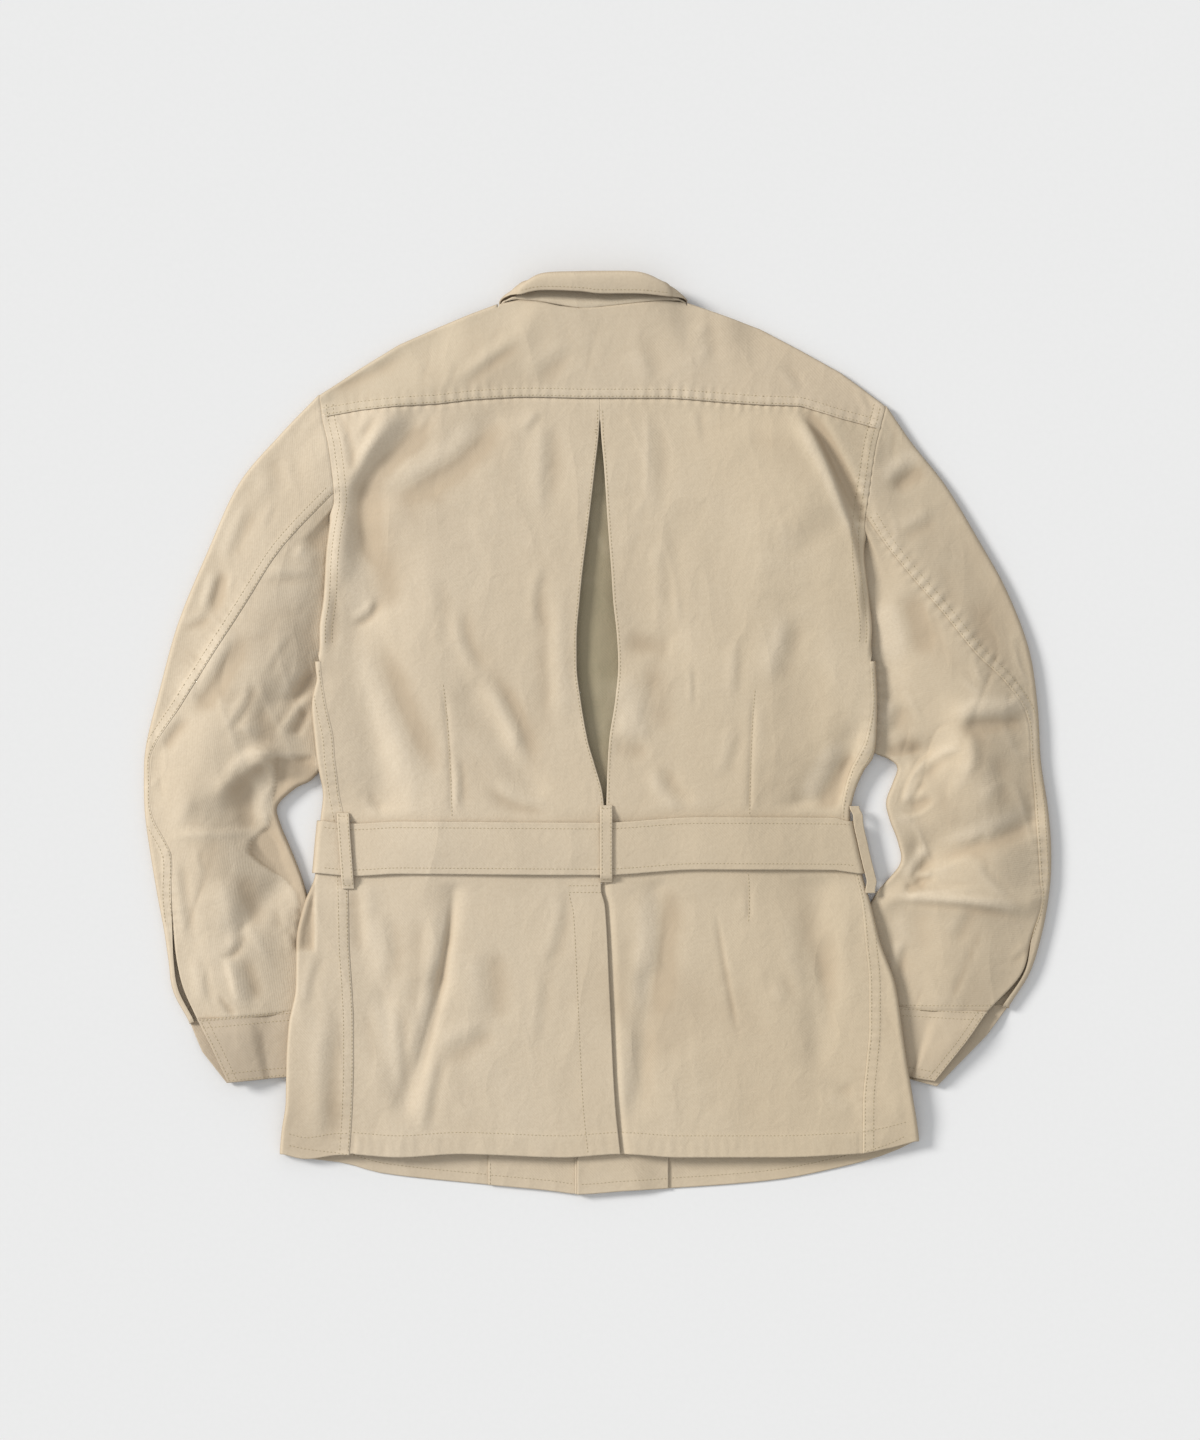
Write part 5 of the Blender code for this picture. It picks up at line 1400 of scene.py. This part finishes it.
def cotton_twill(name, turn, left, right):
    """Washed khaki cotton twill, piece dyed: matt, slightly heathered and paler where it is rubbed on its
    crests, with painted shade in its hollows and on its steep sides. The twill's real lines are 0.6 mm apart.
    They are drawn wider so that they show. Its colour is painted lighter on the left of the jacket, toward
    the key light, and darker to the right, as painted light and shade."""
    made, where = new_material(name)
    turned_to = add(made, "ShaderNodeMapping", {"Rotation": (0, 0, turn)}, {"Vector": where}).outputs[0]
    lines = {"bands_direction": "DIAGONAL", "Distortion": 1.2, "Detail": 1.0, "Detail Scale": 3.0}
    lines["Scale"] = 0.444 / bpy.context.scene.jacket_cloth.twill_spacing
    twill = add(made, "ShaderNodeTexWave", lines, {"Vector": turned_to}).outputs["Fac"]
    heather, fade, crumple = (
        add(made, "ShaderNodeTexNoise", settings, {"Vector": where}).outputs[0]
        for settings in (
            {"Scale": 420.0, "Detail": 3.0, "Roughness": 0.7},
            {"Scale": 9.0, "Detail": 4.0, "Roughness": 0.55},
            {"Scale": 75.0, "Detail": 4.0, "Roughness": 0.6, "Distortion": 0.6},
        )
    )
    narrower = {"Rotation": (0, 0, turn), "Scale": (1, 0.5, 1)}
    stretched = add(made, "ShaderNodeMapping", narrower, {"Vector": where}).outputs[0]
    ridges = {"noise_type": "RIDGED_MULTIFRACTAL", "Scale": 24.0, "Detail": 3.0, "Roughness": 0.45}
    ridges |= {"Offset": 0.9, "Gain": 1.0}
    creases = add(made, "ShaderNodeTexNoise", ridges, {"Vector": stretched}).outputs[0]
    # how far each point lies in a crest or a hollow: for crests paler as wear and hollows darker as painted
    # shade
    wear_and_painted_shade = add(made, "ShaderNodeAttribute", {"attribute_name": "wear_and_painted_shade"}).outputs["Fac"]
    # how far the surface faces up, for the painted shade on its steep sides
    normal = add(made, "ShaderNodeTexCoord").outputs["Normal"]
    facing = add(made, "ShaderNodeSeparateXYZ", links={0: normal}).outputs["Z"]
    across = add(made, "ShaderNodeSeparateXYZ", links={0: where}).outputs["X"]
    # painted light and shade: lighter on the left, toward the key light, and darker to the right
    to_right = add(made, "ShaderNodeMapRange", {"From Min": -0.16, "From Max": 0.20}, {0: across}).outputs[0]
    ends = {"data_type": "RGBA", 6: colour(left), 7: colour(right)}
    tone = add(made, "ShaderNodeMix", ends, {0: to_right}).outputs[2]
    # What lies over the ground colour: where it starts, where it is full, how much it then covers, its colour
    for source, start, full, most, code in (
        (fade, 0.35, 0.7, 0.28, "#c8b599"),
        # crests paler, as rubbed wear
        (wear_and_painted_shade, 0.1, 1.0, 0.3, "#e8dac4"),
        # hollows darker: painted shade
        (wear_and_painted_shade, -0.1, -1.0, 0.5, "#b19c81"),
        # steep sides darker: painted shade that keeps the low key light from lighting up the folded edges
        (facing, 0.85, 0.25, 0.75, "#9b876d"),
        (heather, 0.42, 0.62, 0.16, "#b9a589"),
    ):
        reach = {"From Min": start, "From Max": full, "To Max": most}
        share = add(made, "ShaderNodeMapRange", reach, {0: source}).outputs[0]
        over = {"data_type": "RGBA", 7: colour(code)}
        tone = add(made, "ShaderNodeMix", over, {0: share, 6: tone}).outputs[2]
    under = {}
    for source, strength, distance in (
        (creases, 0.3, 0.002),
        (crumple, 0.35, 0.0016),
        (heather, 0.3, 0.0004),
        (twill, 0.25, 0.0002),
    ):
        depth = {"Strength": strength, "Distance": distance}
        under = {"Normal": add(made, "ShaderNodeBump", depth, {"Height": source} | under).outputs[0]}
    settings = {"Roughness": 0.9, "IOR": 1.5, "Specular IOR Level": 0.2, "Sheen Weight": 0.12}
    settings["Sheen Roughness"] = 0.5
    return finish_material(made, settings, {"Base Color": tone} | under)


def sewing_thread():
    """Spun polyester thread, dyed to match the cloth, a little deeper and with a faint shine from its
    twist."""
    made, where = new_material("spun_polyester_thread")
    twist = add(made, "ShaderNodeTexNoise", {"Scale": 1500.0, "Detail": 2.0}, {"Vector": where}).outputs[0]
    ends = {"data_type": "RGBA", 6: colour("#c8b898"), 7: colour("#b3a382")}
    tone = add(made, "ShaderNodeMix", ends, {0: twist}).outputs[2]
    bump = add(made, "ShaderNodeBump", {"Strength": 0.4, "Distance": 0.0001}, {"Height": twist}).outputs[0]
    settings = {"Roughness": 0.6, "Specular IOR Level": 0.35, "Sheen Weight": 0.1}
    return finish_material(made, settings, {"Base Color": tone, "Normal": bump})


def plated_steel():
    """Nickel-plated steel strip, drawn and lightly brushed: a warm grey metal with fine lines along it."""
    made, where = new_material("nickel_plated_steel")
    stretched = add(made, "ShaderNodeMapping", {"Scale": (60, 900, 900)}, {"Vector": where}).outputs[0]
    lines = add(made, "ShaderNodeTexNoise", {"Scale": 3.0, "Detail": 3.0}, {"Vector": stretched}).outputs[0]
    rough = add(made, "ShaderNodeMapRange", {"To Min": 0.28, "To Max": 0.45}, {0: lines}).outputs[0]
    ends = {"data_type": "RGBA", 6: colour("#cfccc4"), 7: colour("#b5b1a8")}
    tone = add(made, "ShaderNodeMix", ends, {0: lines}).outputs[2]
    bump = add(made, "ShaderNodeBump", {"Strength": 0.1, "Distance": 0.0001}, {"Height": lines}).outputs[0]
    return finish_material(made, {"Metallic": 1.0}, {"Base Color": tone, "Roughness": rough, "Normal": bump})


def moulded_urea():
    """Moulded urea, mottled like horn and tumble polished: dark brown, half matt."""
    made, where = new_material("moulded_urea_horn")
    horn = {"Scale": 160.0, "Detail": 4.0, "Distortion": 1.5}
    mottle = add(made, "ShaderNodeTexNoise", horn, {"Vector": where}).outputs[0]
    share = add(made, "ShaderNodeMapRange", {"From Min": 0.35, "From Max": 0.65}, {0: mottle}).outputs[0]
    ends = {"data_type": "RGBA", 6: colour("#4a3623"), 7: colour("#7a5d3f")}
    tone = add(made, "ShaderNodeMix", ends, {0: share}).outputs[2]
    rough = add(made, "ShaderNodeMapRange", {"To Min": 0.3, "To Max": 0.45}, {0: mottle}).outputs[0]
    bump = add(made, "ShaderNodeBump", {"Strength": 0.08, "Distance": 0.0002}, {"Height": mottle}).outputs[0]
    links = {"Base Color": tone, "Roughness": rough, "Normal": bump}
    return finish_material(made, {"Coat Weight": 0.1}, links)


def matt_paper():
    """Matt background paper, off-white and uncoated."""
    made, where = new_material("matt_background_paper")
    fibre = add(made, "ShaderNodeTexNoise", {"Scale": 220.0, "Detail": 3.0}, {"Vector": where}).outputs[0]
    ends = {"data_type": "RGBA", 6: colour("#f1f1f1"), 7: colour("#eeeeee")}
    tone = add(made, "ShaderNodeMix", ends, {0: fibre}).outputs[2]
    return finish_material(made, {"Roughness": 0.95, "Specular IOR Level": 0.1}, {"Base Color": tone})


# The twill's looks: the turn of its threads, and its colour on the jacket's left and right. Where the left
# colour is lighter than the right, the change is painted light and shade. The right sleeve's deeper tones
# and the pleat insert's dark ones are painted shade.
TWILLS = {
    "washed_cotton_twill": (0.0, "#d8c8b0", "#d2c1a6"),
    "washed_cotton_twill_yoke": (0.0, "#cfc0a8", "#d4c3aa"),
    "washed_cotton_twill_stand": (0.0, "#d6c7af", "#d3c4ab"),
    # the pleat's insert: its dark tones are painted shade inside the pleat's opening
    "pleat_twill_painted_shade": (0.0, "#a3977a", "#9c947a"),
    "washed_cotton_twill_left_sleeve": (math.radians(38), "#d8c8b0", "#d2c1a6"),
    # the right sleeve's deeper tones are painted shade, on the side away from the key light
    "washed_cotton_twill_right_sleeve": (math.radians(-42), "#cebea7", "#cabaa1"),
    "washed_cotton_twill_cuff": (0.0, "#c9b9a3", "#c6b69e"),
}
BODY_TWILL = "washed_cotton_twill"
OTHER_LOOKS = {
    "spun_polyester_thread": sewing_thread,
    "nickel_plated_steel": plated_steel,
    "moulded_urea_horn": moulded_urea,
    "matt_background_paper": matt_paper,
}


def look(name):
    """The material of that name, made the first time it is asked for."""
    if name in bpy.data.materials:
        return bpy.data.materials[name]
    return cotton_twill(name, *TWILLS[name]) if name in TWILLS else OTHER_LOOKS[name]()


# Making pieces


def edged(points):
    """The grid with one more line of points close inside each of its four edges, so that only the edges look
    rounded."""
    for axis in (0, 1):
        grid = np.moveaxis(points, axis, 0)
        lines = []
        for edge, next_in in ((grid[0], grid[1]), (grid[-1], grid[-2])):
            length = np.linalg.norm(next_in - edge, axis=1)[:, None]
            lines.append(mix(edge, next_in, np.minimum(EDGE_ROUND / np.maximum(length, 1e-6), 0.5))[None])
        points = np.moveaxis(np.concatenate([grid[:1], lines[0], grid[1:-1], lines[1], grid[-1:]]), 0, axis)
    return points


def new_piece(name, points, faces, material):
    """A smooth mesh object of that name, from points in millimetres."""
    mesh = bpy.data.meshes.new(name)
    mesh.from_pydata((np.asarray(points) * MM).tolist(), [], faces)
    mesh.shade_smooth()
    mesh.materials.append(look(material))
    piece = bpy.data.objects.new(name, mesh)
    bpy.context.scene.collection.objects.link(piece)
    return piece


def cloth(node, points, material, wall=None):
    """A thin wall through a grid of points in millimetres, in place of a node. Where a point is nan, there is
    none. How far each point lies in a crest or a hollow is kept for the material, which paints the crests
    paler as wear and the hollows darker as painted shade."""
    points = edged(points)
    there = ~np.isnan(points[..., 2])
    number = np.cumsum(there).reshape(there.shape) - 1
    whole = there[:-1, :-1] & there[:-1, 1:] & there[1:, 1:] & there[1:, :-1]
    corners = [number[:-1, :-1], number[:-1, 1:], number[1:, 1:], number[1:, :-1]]
    faces = np.stack([corner[whole] for corner in corners], axis=1)
    points = points[there]
    piece = new_piece("cloth_" + node, points, faces.tolist(), material)
    # crest or hollow: the material paints crests paler as wear and hollows darker as painted shade
    wear_and_painted_shade = np.clip(detail(points[:, 0], points[:, 1]) / 1.6, -1, 1)
    piece.data.attributes.new("wear_and_painted_shade", "FLOAT", "POINT").data.foreach_set("value", wear_and_painted_shade.astype(np.float32))
    walls = piece.modifiers.new("wall", "SOLIDIFY")
    walls.thickness = (wall or bpy.context.scene.jacket_cloth.wall / MM) * MM
    walls.offset = 0.0
    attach(piece, BODY)
    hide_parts(node)
    return piece


def upright(start, grid):
    """The grid with its columns turned round where they start on the right, so that its top looks up. They
    start on the left at -1, and on the right at 1."""
    return grid[:, ::-1] if start > 0 else grid


def surface_of(pieces):
    """A search tree of the pieces' outer surfaces, in millimetres."""
    vertices, triangles = [], []
    deps = bpy.context.evaluated_depsgraph_get()
    for piece in pieces:
        mesh = piece.evaluated_get(deps).to_mesh()
        mesh.calc_loop_triangles()
        first = len(vertices)
        vertices += [vertex.co / MM for vertex in mesh.vertices]
        triangles += [tuple(first + k for k in triangle.vertices) for triangle in mesh.loop_triangles]
        piece.evaluated_get(deps).to_mesh_clear()
    return BVHTree.FromPolygons(vertices, triangles)


def beside(line, distance):
    """The line moved to its left by a distance."""
    line = np.asarray(line, float)
    way = np.gradient(line, axis=0)
    way /= np.maximum(np.linalg.norm(way, axis=1), 1e-9)[:, None]
    return line + np.stack([-way[:, 1], way[:, 0]], axis=1) * distance


def evenly(line, pitch):
    """Points along a line, a pitch apart."""
    line = np.asarray(line, float)
    run = np.concatenate([[0], np.cumsum(np.linalg.norm(np.diff(line, axis=0), axis=1))])
    at = np.arange(0, run[-1], pitch)
    return np.stack([np.interp(at, run, line[:, k]) for k in (0, 1)], axis=1)


def stitches(name, runs, pieces):
    """Rows of single stitches on top of some pieces. Each run is a line of places seen from above."""
    sewing = bpy.context.scene.jacket_stitches
    pitch, length, thick = sewing.pitch / MM, sewing.length / MM, sewing.thickness / MM
    surface = surface_of(pieces)
    ends = []
    for run in runs:
        spots = evenly(run, pitch)
        for a, b in zip(spots[:-1], spots[1:]):
            pair = []
            for place in (a, mix(a, b, length / pitch)):
                hit, normal, _, _ = surface.ray_cast(Vector((*place, 80.0)), Vector((0, 0, -1)))
                if hit is not None and normal.z > 0.35:
                    pair.append(np.array(hit))
            if len(pair) == 2 and abs(pair[0][2] - pair[1][2]) < 1.5:
                ends.append(pair)
    if not ends:
        raise RuntimeError(f"{name}: no stitch lies on its cloth")
    a, b = np.array(ends)[:, 0], np.array(ends)[:, 1]
    way = (b - a) / np.linalg.norm(b - a, axis=1)[:, None]
    across = np.stack([-way[:, 1], way[:, 0], 0 * way[:, 0]], axis=1) * thick / 2
    up = np.array([0, 0, 1.0])
    dip = -0.12 * up  # the ends go into the cloth
    corners = [a + dip, b + dip]
    for share in (0.25, 0.75):
        place = mix(a, b, share)
        corners += [place + across, place + up * thick * 0.55, place - across]
    vertices = np.stack(corners, axis=1).reshape(-1, 3)
    shape = [(0, 3, 2), (0, 4, 3), (2, 3, 6, 5), (3, 4, 7, 6), (1, 5, 6), (1, 6, 7), (0, 2, 5, 1, 7, 4)]
    faces = [tuple(8 * k + corner for corner in face) for k in range(len(a)) for face in shape]
    piece = new_piece(name, vertices, faces, "spun_polyester_thread")
    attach(piece, BODY)


# Settings


class JacketCloth(bpy.types.PropertyGroup):
    wall: FloatProperty(
        name="Wall",
        description="Thickness of one layer of cloth",
        default=0.0010,
        min=0.0003,
        max=0.002,
        unit="LENGTH",
    )
    twill_spacing: FloatProperty(
        name="Twill spacing",
        description="From one drawn twill line to the next",
        default=0.0018,
        min=0.0004,
        max=0.01,
        unit="LENGTH",
    )


class JacketStitches(bpy.types.PropertyGroup):
    pitch: FloatProperty(
        name="Pitch",
        description="From one stitch to the next",
        default=0.0034,
        min=0.001,
        max=0.01,
        unit="LENGTH",
    )
    length: FloatProperty(
        name="Length",
        description="What shows of one stitch",
        default=0.0025,
        min=0.0005,
        max=0.01,
        unit="LENGTH",
    )
    thickness: FloatProperty(
        name="Thread",
        description="Thickness of the thread",
        default=0.00065,
        min=0.0002,
        max=0.002,
        unit="LENGTH",
    )


class JacketStage(bpy.types.PropertyGroup):
    height: FloatProperty(
        name="Camera height",
        description="Camera above the floor",
        default=3.06,
        min=0.5,
        max=10,
        unit="LENGTH",
    )
    key: FloatProperty(
        name="Key light",
        description="Strength of the low light from the left",
        default=2.75,
        min=0,
        max=20,
    )
    fill: FloatProperty(
        name="Fill light",
        description="Strength of the even light all round",
        default=0.57,
        min=0,
        max=5,
    )
    key_direction: FloatVectorProperty(
        name="Key direction",
        description="Where the key light stands, seen from the jacket",
        default=(-0.77, 0.36, 0.45),
        subtype="DIRECTION",
    )


# The steps that build the jacket


class JACKET_OT_back(bpy.types.Operator):
    """The yoke, both halves of the back and the insert of the centre pleat"""

    bl_idname = "jacket.back"
    bl_label = "Back"

    def execute(self, context):
        # the pleat's insert takes a darker twill, as painted shade for the hollow of its opening
        yoke, pleat = BODY_TWILL + "_yoke", "pleat_twill_painted_shade"
        for name, sheet, material, flat, area, held, under in (
            ("left", back_panel(-1)[:, ::-1], BODY_TWILL, (0.25, 0.70), 0.156, "laid", "front_left"),
            ("right", back_panel(1), BODY_TWILL, (0.27, 0.70), 0.166, "laid", "front_right"),
            ("yoke", yoke_sheet(), yoke, (0.52, 0.13), 0.046, "folded", "front_left"),
            ("pleat", pleat_sheet(), pleat, (0.15, 0.36), 0.05, "folded", "front_left"),
        ):
            piece = cloth("back_" + name, sheet, material)
        return {"FINISHED"}


class JACKET_OT_fronts(bpy.types.Operator):
    """Both fronts and their facings"""

    bl_idname = "jacket.fronts"
    bl_label = "Fronts and facings"

    def execute(self, context):
        for side, front_area, facing_area in ((-1, 0.22, 0.085), (1, 0.205, 0.058)):
            name = SIDE_NAME[side]
            grid, inside = front_panel(side)
            front = cloth("front_" + name, upright(side, grid), BODY_TWILL)
            facing = cloth("facing_" + name, upright(side, inside), BODY_TWILL)
        return {"FINISHED"}


class JACKET_OT_sleeves(bpy.types.Operator):
    """Both sleeves, each a top sleeve and an under sleeve"""

    bl_idname = "jacket.sleeves"
    bl_label = "Sleeves"

    def execute(self, context):
        for side, name in SIDE_NAME.items():
            top, under = sleeve_sheets(side)
            material = f"{BODY_TWILL}_{name}_sleeve"
            top = cloth(f"sleeve_{name}_top", upright(-side, top), material)
            under = cloth(f"sleeve_{name}_under", upright(side, under), material)
        return {"FINISHED"}


class JACKET_OT_cuffs(bpy.types.Operator):
    """Both cuffs, unfastened"""

    bl_idname = "jacket.cuffs"
    bl_label = "Cuffs"

    def execute(self, context):
        for side, name in SIDE_NAME.items():
            grid = upright(side, cuff_sheet(CUFFS[side]))
            piece = cloth("cuff_" + name, grid, BODY_TWILL + "_cuff", DOUBLE_WALL)
        return {"FINISHED"}


class JACKET_OT_collar(bpy.types.Operator):
    """The collar's stand and fall"""

    bl_idname = "jacket.collar"
    bl_label = "Collar"

    def execute(self, context):
        stand, fall = collar_sheets()
        stand = cloth("collar_stand", stand, BODY_TWILL + "_stand", COLLAR_WALL)
        fall = cloth("collar_fall", fall, BODY_TWILL + "_yoke", COLLAR_WALL)
        return {"FINISHED"}


class JACKET_OT_belt(bpy.types.Operator):
    """The belt, its loops and its buckle"""

    bl_idname = "jacket.belt"
    bl_label = "Belt"

    def execute(self, context):
        belt = cloth("belt", belt_sheet(), BODY_TWILL, DOUBLE_WALL)
        for name, top, bottom in zip(("left", "centre"), places(LOOPS, "top"), places(LOOPS, "bottom")):
            loop = cloth("belt_loop_" + name, loop_sheet(*top, *bottom)[:, ::-1], BODY_TWILL)
        loop = cloth("belt_loop_right", right_loop_sheet(), BODY_TWILL)
        buckle = frame["nodes"]["belt_buckle"]
        buckle.data.materials.clear()
        buckle.data.materials.append(look("nickel_plated_steel"))
        edges = buckle.modifiers.new("edges", "BEVEL")
        edges.width = 0.6 * MM
        edges.segments = 3
        return {"FINISHED"}


def button(name, node, radius, thick):
    """A button with a raised rim and a dished middle, in place of a node."""
    low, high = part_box(node)
    sides = 40
    after = [(k + 1) % sides for k in range(sides)]
    points, faces = [], []
    for share, height in BUTTON_SECTION[1:-1]:
        for k in range(sides):
            turn = 2 * math.pi * k / sides
            x, y = radius * share * math.cos(turn), radius * share * math.sin(turn)
            points.append((x, y, thick * (height - 0.5)))
    rings = len(BUTTON_SECTION) - 2
    for ring in range(0, (rings - 1) * sides, sides):
        for k, n in enumerate(after):
            faces.append((ring + k, ring + sides + k, ring + sides + n, ring + n))
    for (_, height), ring in ((BUTTON_SECTION[0], 0), (BUTTON_SECTION[-1], (rings - 1) * sides)):
        tip = len(points)
        points.append((0, 0, thick * (height - 0.5)))
        for k, n in enumerate(after):
            face = (ring + k, ring + n, tip)
            faces.append(face if ring == 0 else face[::-1])
    piece = new_piece(name, points, faces, "moulded_urea_horn")
    piece.location = (low + high) / 2
    piece.rotation_euler = (math.pi, 0, 0)
    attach(piece, BODY)
    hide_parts(node)


class JACKET_OT_buttons(bpy.types.Operator):
    """The front buttons and one button on each cuff"""

    bl_idname = "jacket.buttons"
    bl_label = "Buttons"

    def execute(self, context):
        for number in range(1, 5):
            button(f"button_front_{number}", f"front_button_{number}", BUTTON_RADIUS, BUTTON_THICKNESS)
        for name in ("left", "right"):
            button("button_cuff_" + name, "cuff_button_" + name, CUFF_BUTTON_RADIUS, CUFF_BUTTON_THICKNESS)
        return {"FINISHED"}


def named(*names):
    """The cloth pieces of those names."""
    missing = [name for name in names if "cloth_" + name not in bpy.data.objects]
    if missing:
        raise RuntimeError(f"build {', '.join(missing)} before its stitches")
    return [bpy.data.objects["cloth_" + name] for name in names]


class JACKET_OT_stitches(bpy.types.Operator):
    """The seams', hems' and edges' rows of stitches"""

    bl_idname = "jacket.stitches"
    bl_label = "Stitches"

    def execute(self, context):
        self.on_back()
        self.on_front_hem()
        for side, name in SIDE_NAME.items():
            self.on_sleeve(side, name)
        self.on_collar_and_belt()
        return {"FINISHED"}

    def on_back(self):
        """The yoke seam, side seams, armholes, pleat, darts, vent and hems."""
        xs = steps(-246, 250, 120)
        runs = [beside(line_of(xs, seam_line(xs)), row) for row in FELLED_ROWS]
        for side in (-1, 1):
            for low, high, count, rows in ((-376, 60, 120, SIDE_ROWS), (80, 296, 80, ARMHOLE_ROWS)):
                ys = steps(low, high, count)
                seam = line_of(torso(SEAM[side], ys), ys)
                toward = side if rows is ARMHOLE_ROWS else -side
                runs += [beside(seam, toward * row) for row in rows]
        ys = steps(-70, 290, 120)
        runs += [beside(line_of(pleat_edge(side, ys), ys), -side * EDGE_ROW) for side in (-1, 1)]
        runs += [[(-4, y), (6, y)] for y in (271.0, 268.5)]
        runs += [bend(*dart) for dart in zip(*DARTS.values())]
        ys = steps(-376, -140, 60)
        runs.append(beside(line_of(pleat_edge(-1, ys), ys), 29.0)[::-1])
        runs += [[(-27, y), (4, y)] for y in (-137, -143)]
        xs = steps(-222, 235, 150)
        runs.append(beside(line_of(xs, back_hem(xs)), HEM_ROW))
        for low, high in ((-283, -224), (240, 285)):
            xs = steps(low, high, 30)
            runs.append(beside(line_of(xs, front_hem("top", xs)), HEM_ROW))
        pieces = named("back_left", "back_right", "back_yoke", "front_left", "front_right")
        stitches("stitches_back", runs, pieces)

    def on_front_hem(self):
        """What shows of the fronts' hem and of the left facing's edge below the back."""
        xs = steps(-280, 280, 150)
        runs = [beside(line_of(xs, front_hem("under", xs)), FRONT_HEM_ROW)]
        runs.append(line_of(FACING_LEFT_EDGE + FACING_ROW, steps(-410, -384, 12)))
        pieces = named("front_left", "front_right", "facing_left", "facing_right")
        stitches("stitches_front_hem", runs, pieces)

    def on_sleeve(self, side, name):
        """The back seam of a sleeve, the end of the sleeve and the cuff's edges."""
        rows = SLEEVES[side]
        seam = between(places(rows, "seam"), 8)
        near, far = FELLED_ROWS
        runs = [beside(seam, side * near), beside(seam[: 8 * 11], side * far)]
        outer, inner = places(rows, "outer")[-1], places(rows, "inner")[-1]
        end = np.stack([mix(outer, inner, share) for share in steps(0.05, 0.97, 40)])
        free, fold = places(CUFFS[side], "upper"), places(CUFFS[side], "inner")
        upper, lower = np.stack([free[0], fold[0]]), np.stack([free[-1], fold[-1]])
        down = unit(lower.mean(axis=0) - upper.mean(axis=0))
        near, far = CUFF_ROWS
        runs += [upper + down * near, upper + down * far, lower - down * EDGE_ROW, lower - down * far]
        inward = unit(inner - outer)
        runs += [free + inward * near, free + inward * far, end]
        pieces = named(f"sleeve_{name}_top", f"sleeve_{name}_under", "cuff_" + name)
        stitches(f"stitches_sleeve_{name}", [evenly(run, 2.0) for run in runs], pieces)

    def on_collar_and_belt(self):
        """The collar's edge, the belt's edges and the loops' edges."""
        edge = between(places(COLLAR, "edge"), COLLAR_PARTS)
        visible = edge[(edge[:, 1] > 385) & (np.abs(edge[:, 0]) < 73)]
        stitches("stitches_collar", [visible + (0, 0.2)], named("collar_fall"))
        xs = steps(-246, 232, 160)
        inset = BELT_WIDTH / 2 - BELT_ROW
        runs = [line_of(xs, belt_line(xs) + off) for off in (inset, -inset)]
        stitches("stitches_belt", runs, named("belt"))
        runs = []
        inset = LOOP_WIDTH / 2 - LOOP_ROW
        for top, bottom in zip(places(LOOPS, "top"), places(LOOPS, "bottom")):
            runs += [[top + (off, -1), bottom + (off, 1)] for off in (-inset, inset)]
            runs += [[top + (-4, -3), top + (4, -3)], [bottom + (-4, 3), bottom + (4, 3)]]
        stitches("stitches_belt_loops", runs, named("belt_loop_left", "belt_loop_centre"))


class JACKET_OT_stage(bpy.types.Operator):
    """The pale floor, the light and the camera, which looks straight down"""

    bl_idname = "jacket.stage"
    bl_label = "Stage"

    def execute(self, context):
        scene, stage = context.scene, context.scene.jacket_stage
        reach, below = 4000.0, -0.4
        corners = [(x * reach, y * reach, below) for x, y in ((-1, -1), (1, -1), (1, 1), (-1, 1))]
        new_piece("floor", corners, [(0, 1, 2, 3)], "matt_background_paper")
        key = bpy.data.lights.new("key_light", "SUN")
        key.energy = stage.key
        key.angle = math.radians(16)
        key.color = (1.0, 0.985, 0.96)
        lamp = bpy.data.objects.new("key_light", key)
        lamp.rotation_euler = Vector(stage.key_direction).to_track_quat("Z", "Y").to_euler()
        scene.collection.objects.link(lamp)
        world = bpy.data.worlds.new("even_light")
        world.use_nodes = True
        background = world.node_tree.nodes["Background"]
        background.inputs["Color"].default_value = (0.97, 0.985, 1.0, 1.0)
        background.inputs["Strength"].default_value = stage.fill
        scene.world = world
        scene.view_settings.view_transform = "Standard"
        camera = bpy.data.cameras.new("camera")
        camera.lens = 85
        camera.sensor_width = 36
        camera.clip_end = 20
        seen_from = bpy.data.objects.new("camera", camera)
        seen_from.location = (0.00135, 0.01125, stage.height)
        scene.collection.objects.link(seen_from)
        scene.camera = seen_from
        return {"FINISHED"}


class JACKET_PT_build(bpy.types.Panel):
    """The jacket's pieces and their settings"""

    bl_label = "Bush jacket"
    bl_space_type = "VIEW_3D"
    bl_region_type = "UI"
    bl_category = "Jacket"

    def draw(self, context):
        for group in (context.scene.jacket_cloth, context.scene.jacket_stitches, context.scene.jacket_stage):
            for name in group.bl_rna.properties.keys():
                if name not in ("rna_type", "name"):
                    self.layout.prop(group, name)
        for operator in OPERATORS:
            self.layout.operator(operator.bl_idname)


OPERATORS = (
    JACKET_OT_back,
    JACKET_OT_fronts,
    JACKET_OT_sleeves,
    JACKET_OT_cuffs,
    JACKET_OT_collar,
    JACKET_OT_belt,
    JACKET_OT_buttons,
    JACKET_OT_stitches,
    JACKET_OT_stage,
)
GROUPS = {"jacket_cloth": JacketCloth, "jacket_stitches": JacketStitches, "jacket_stage": JacketStage}


def register():
    for made in (*GROUPS.values(), *OPERATORS, JACKET_PT_build):
        bpy.utils.register_class(made)
    for name, group in GROUPS.items():
        setattr(bpy.types.Scene, name, PointerProperty(type=group))


def unregister():
    for name in GROUPS:
        delattr(bpy.types.Scene, name)
    for made in reversed((*GROUPS.values(), *OPERATORS, JACKET_PT_build)):
        bpy.utils.unregister_class(made)


def main():
    register()
    for operator in (
        bpy.ops.jacket.back,
        bpy.ops.jacket.fronts,
        bpy.ops.jacket.sleeves,
        bpy.ops.jacket.cuffs,
        bpy.ops.jacket.collar,
        bpy.ops.jacket.belt,
        bpy.ops.jacket.buttons,
        bpy.ops.jacket.stitches,
        bpy.ops.jacket.stage,
    ):
        operator()


if __name__ == "__main__":
    main()
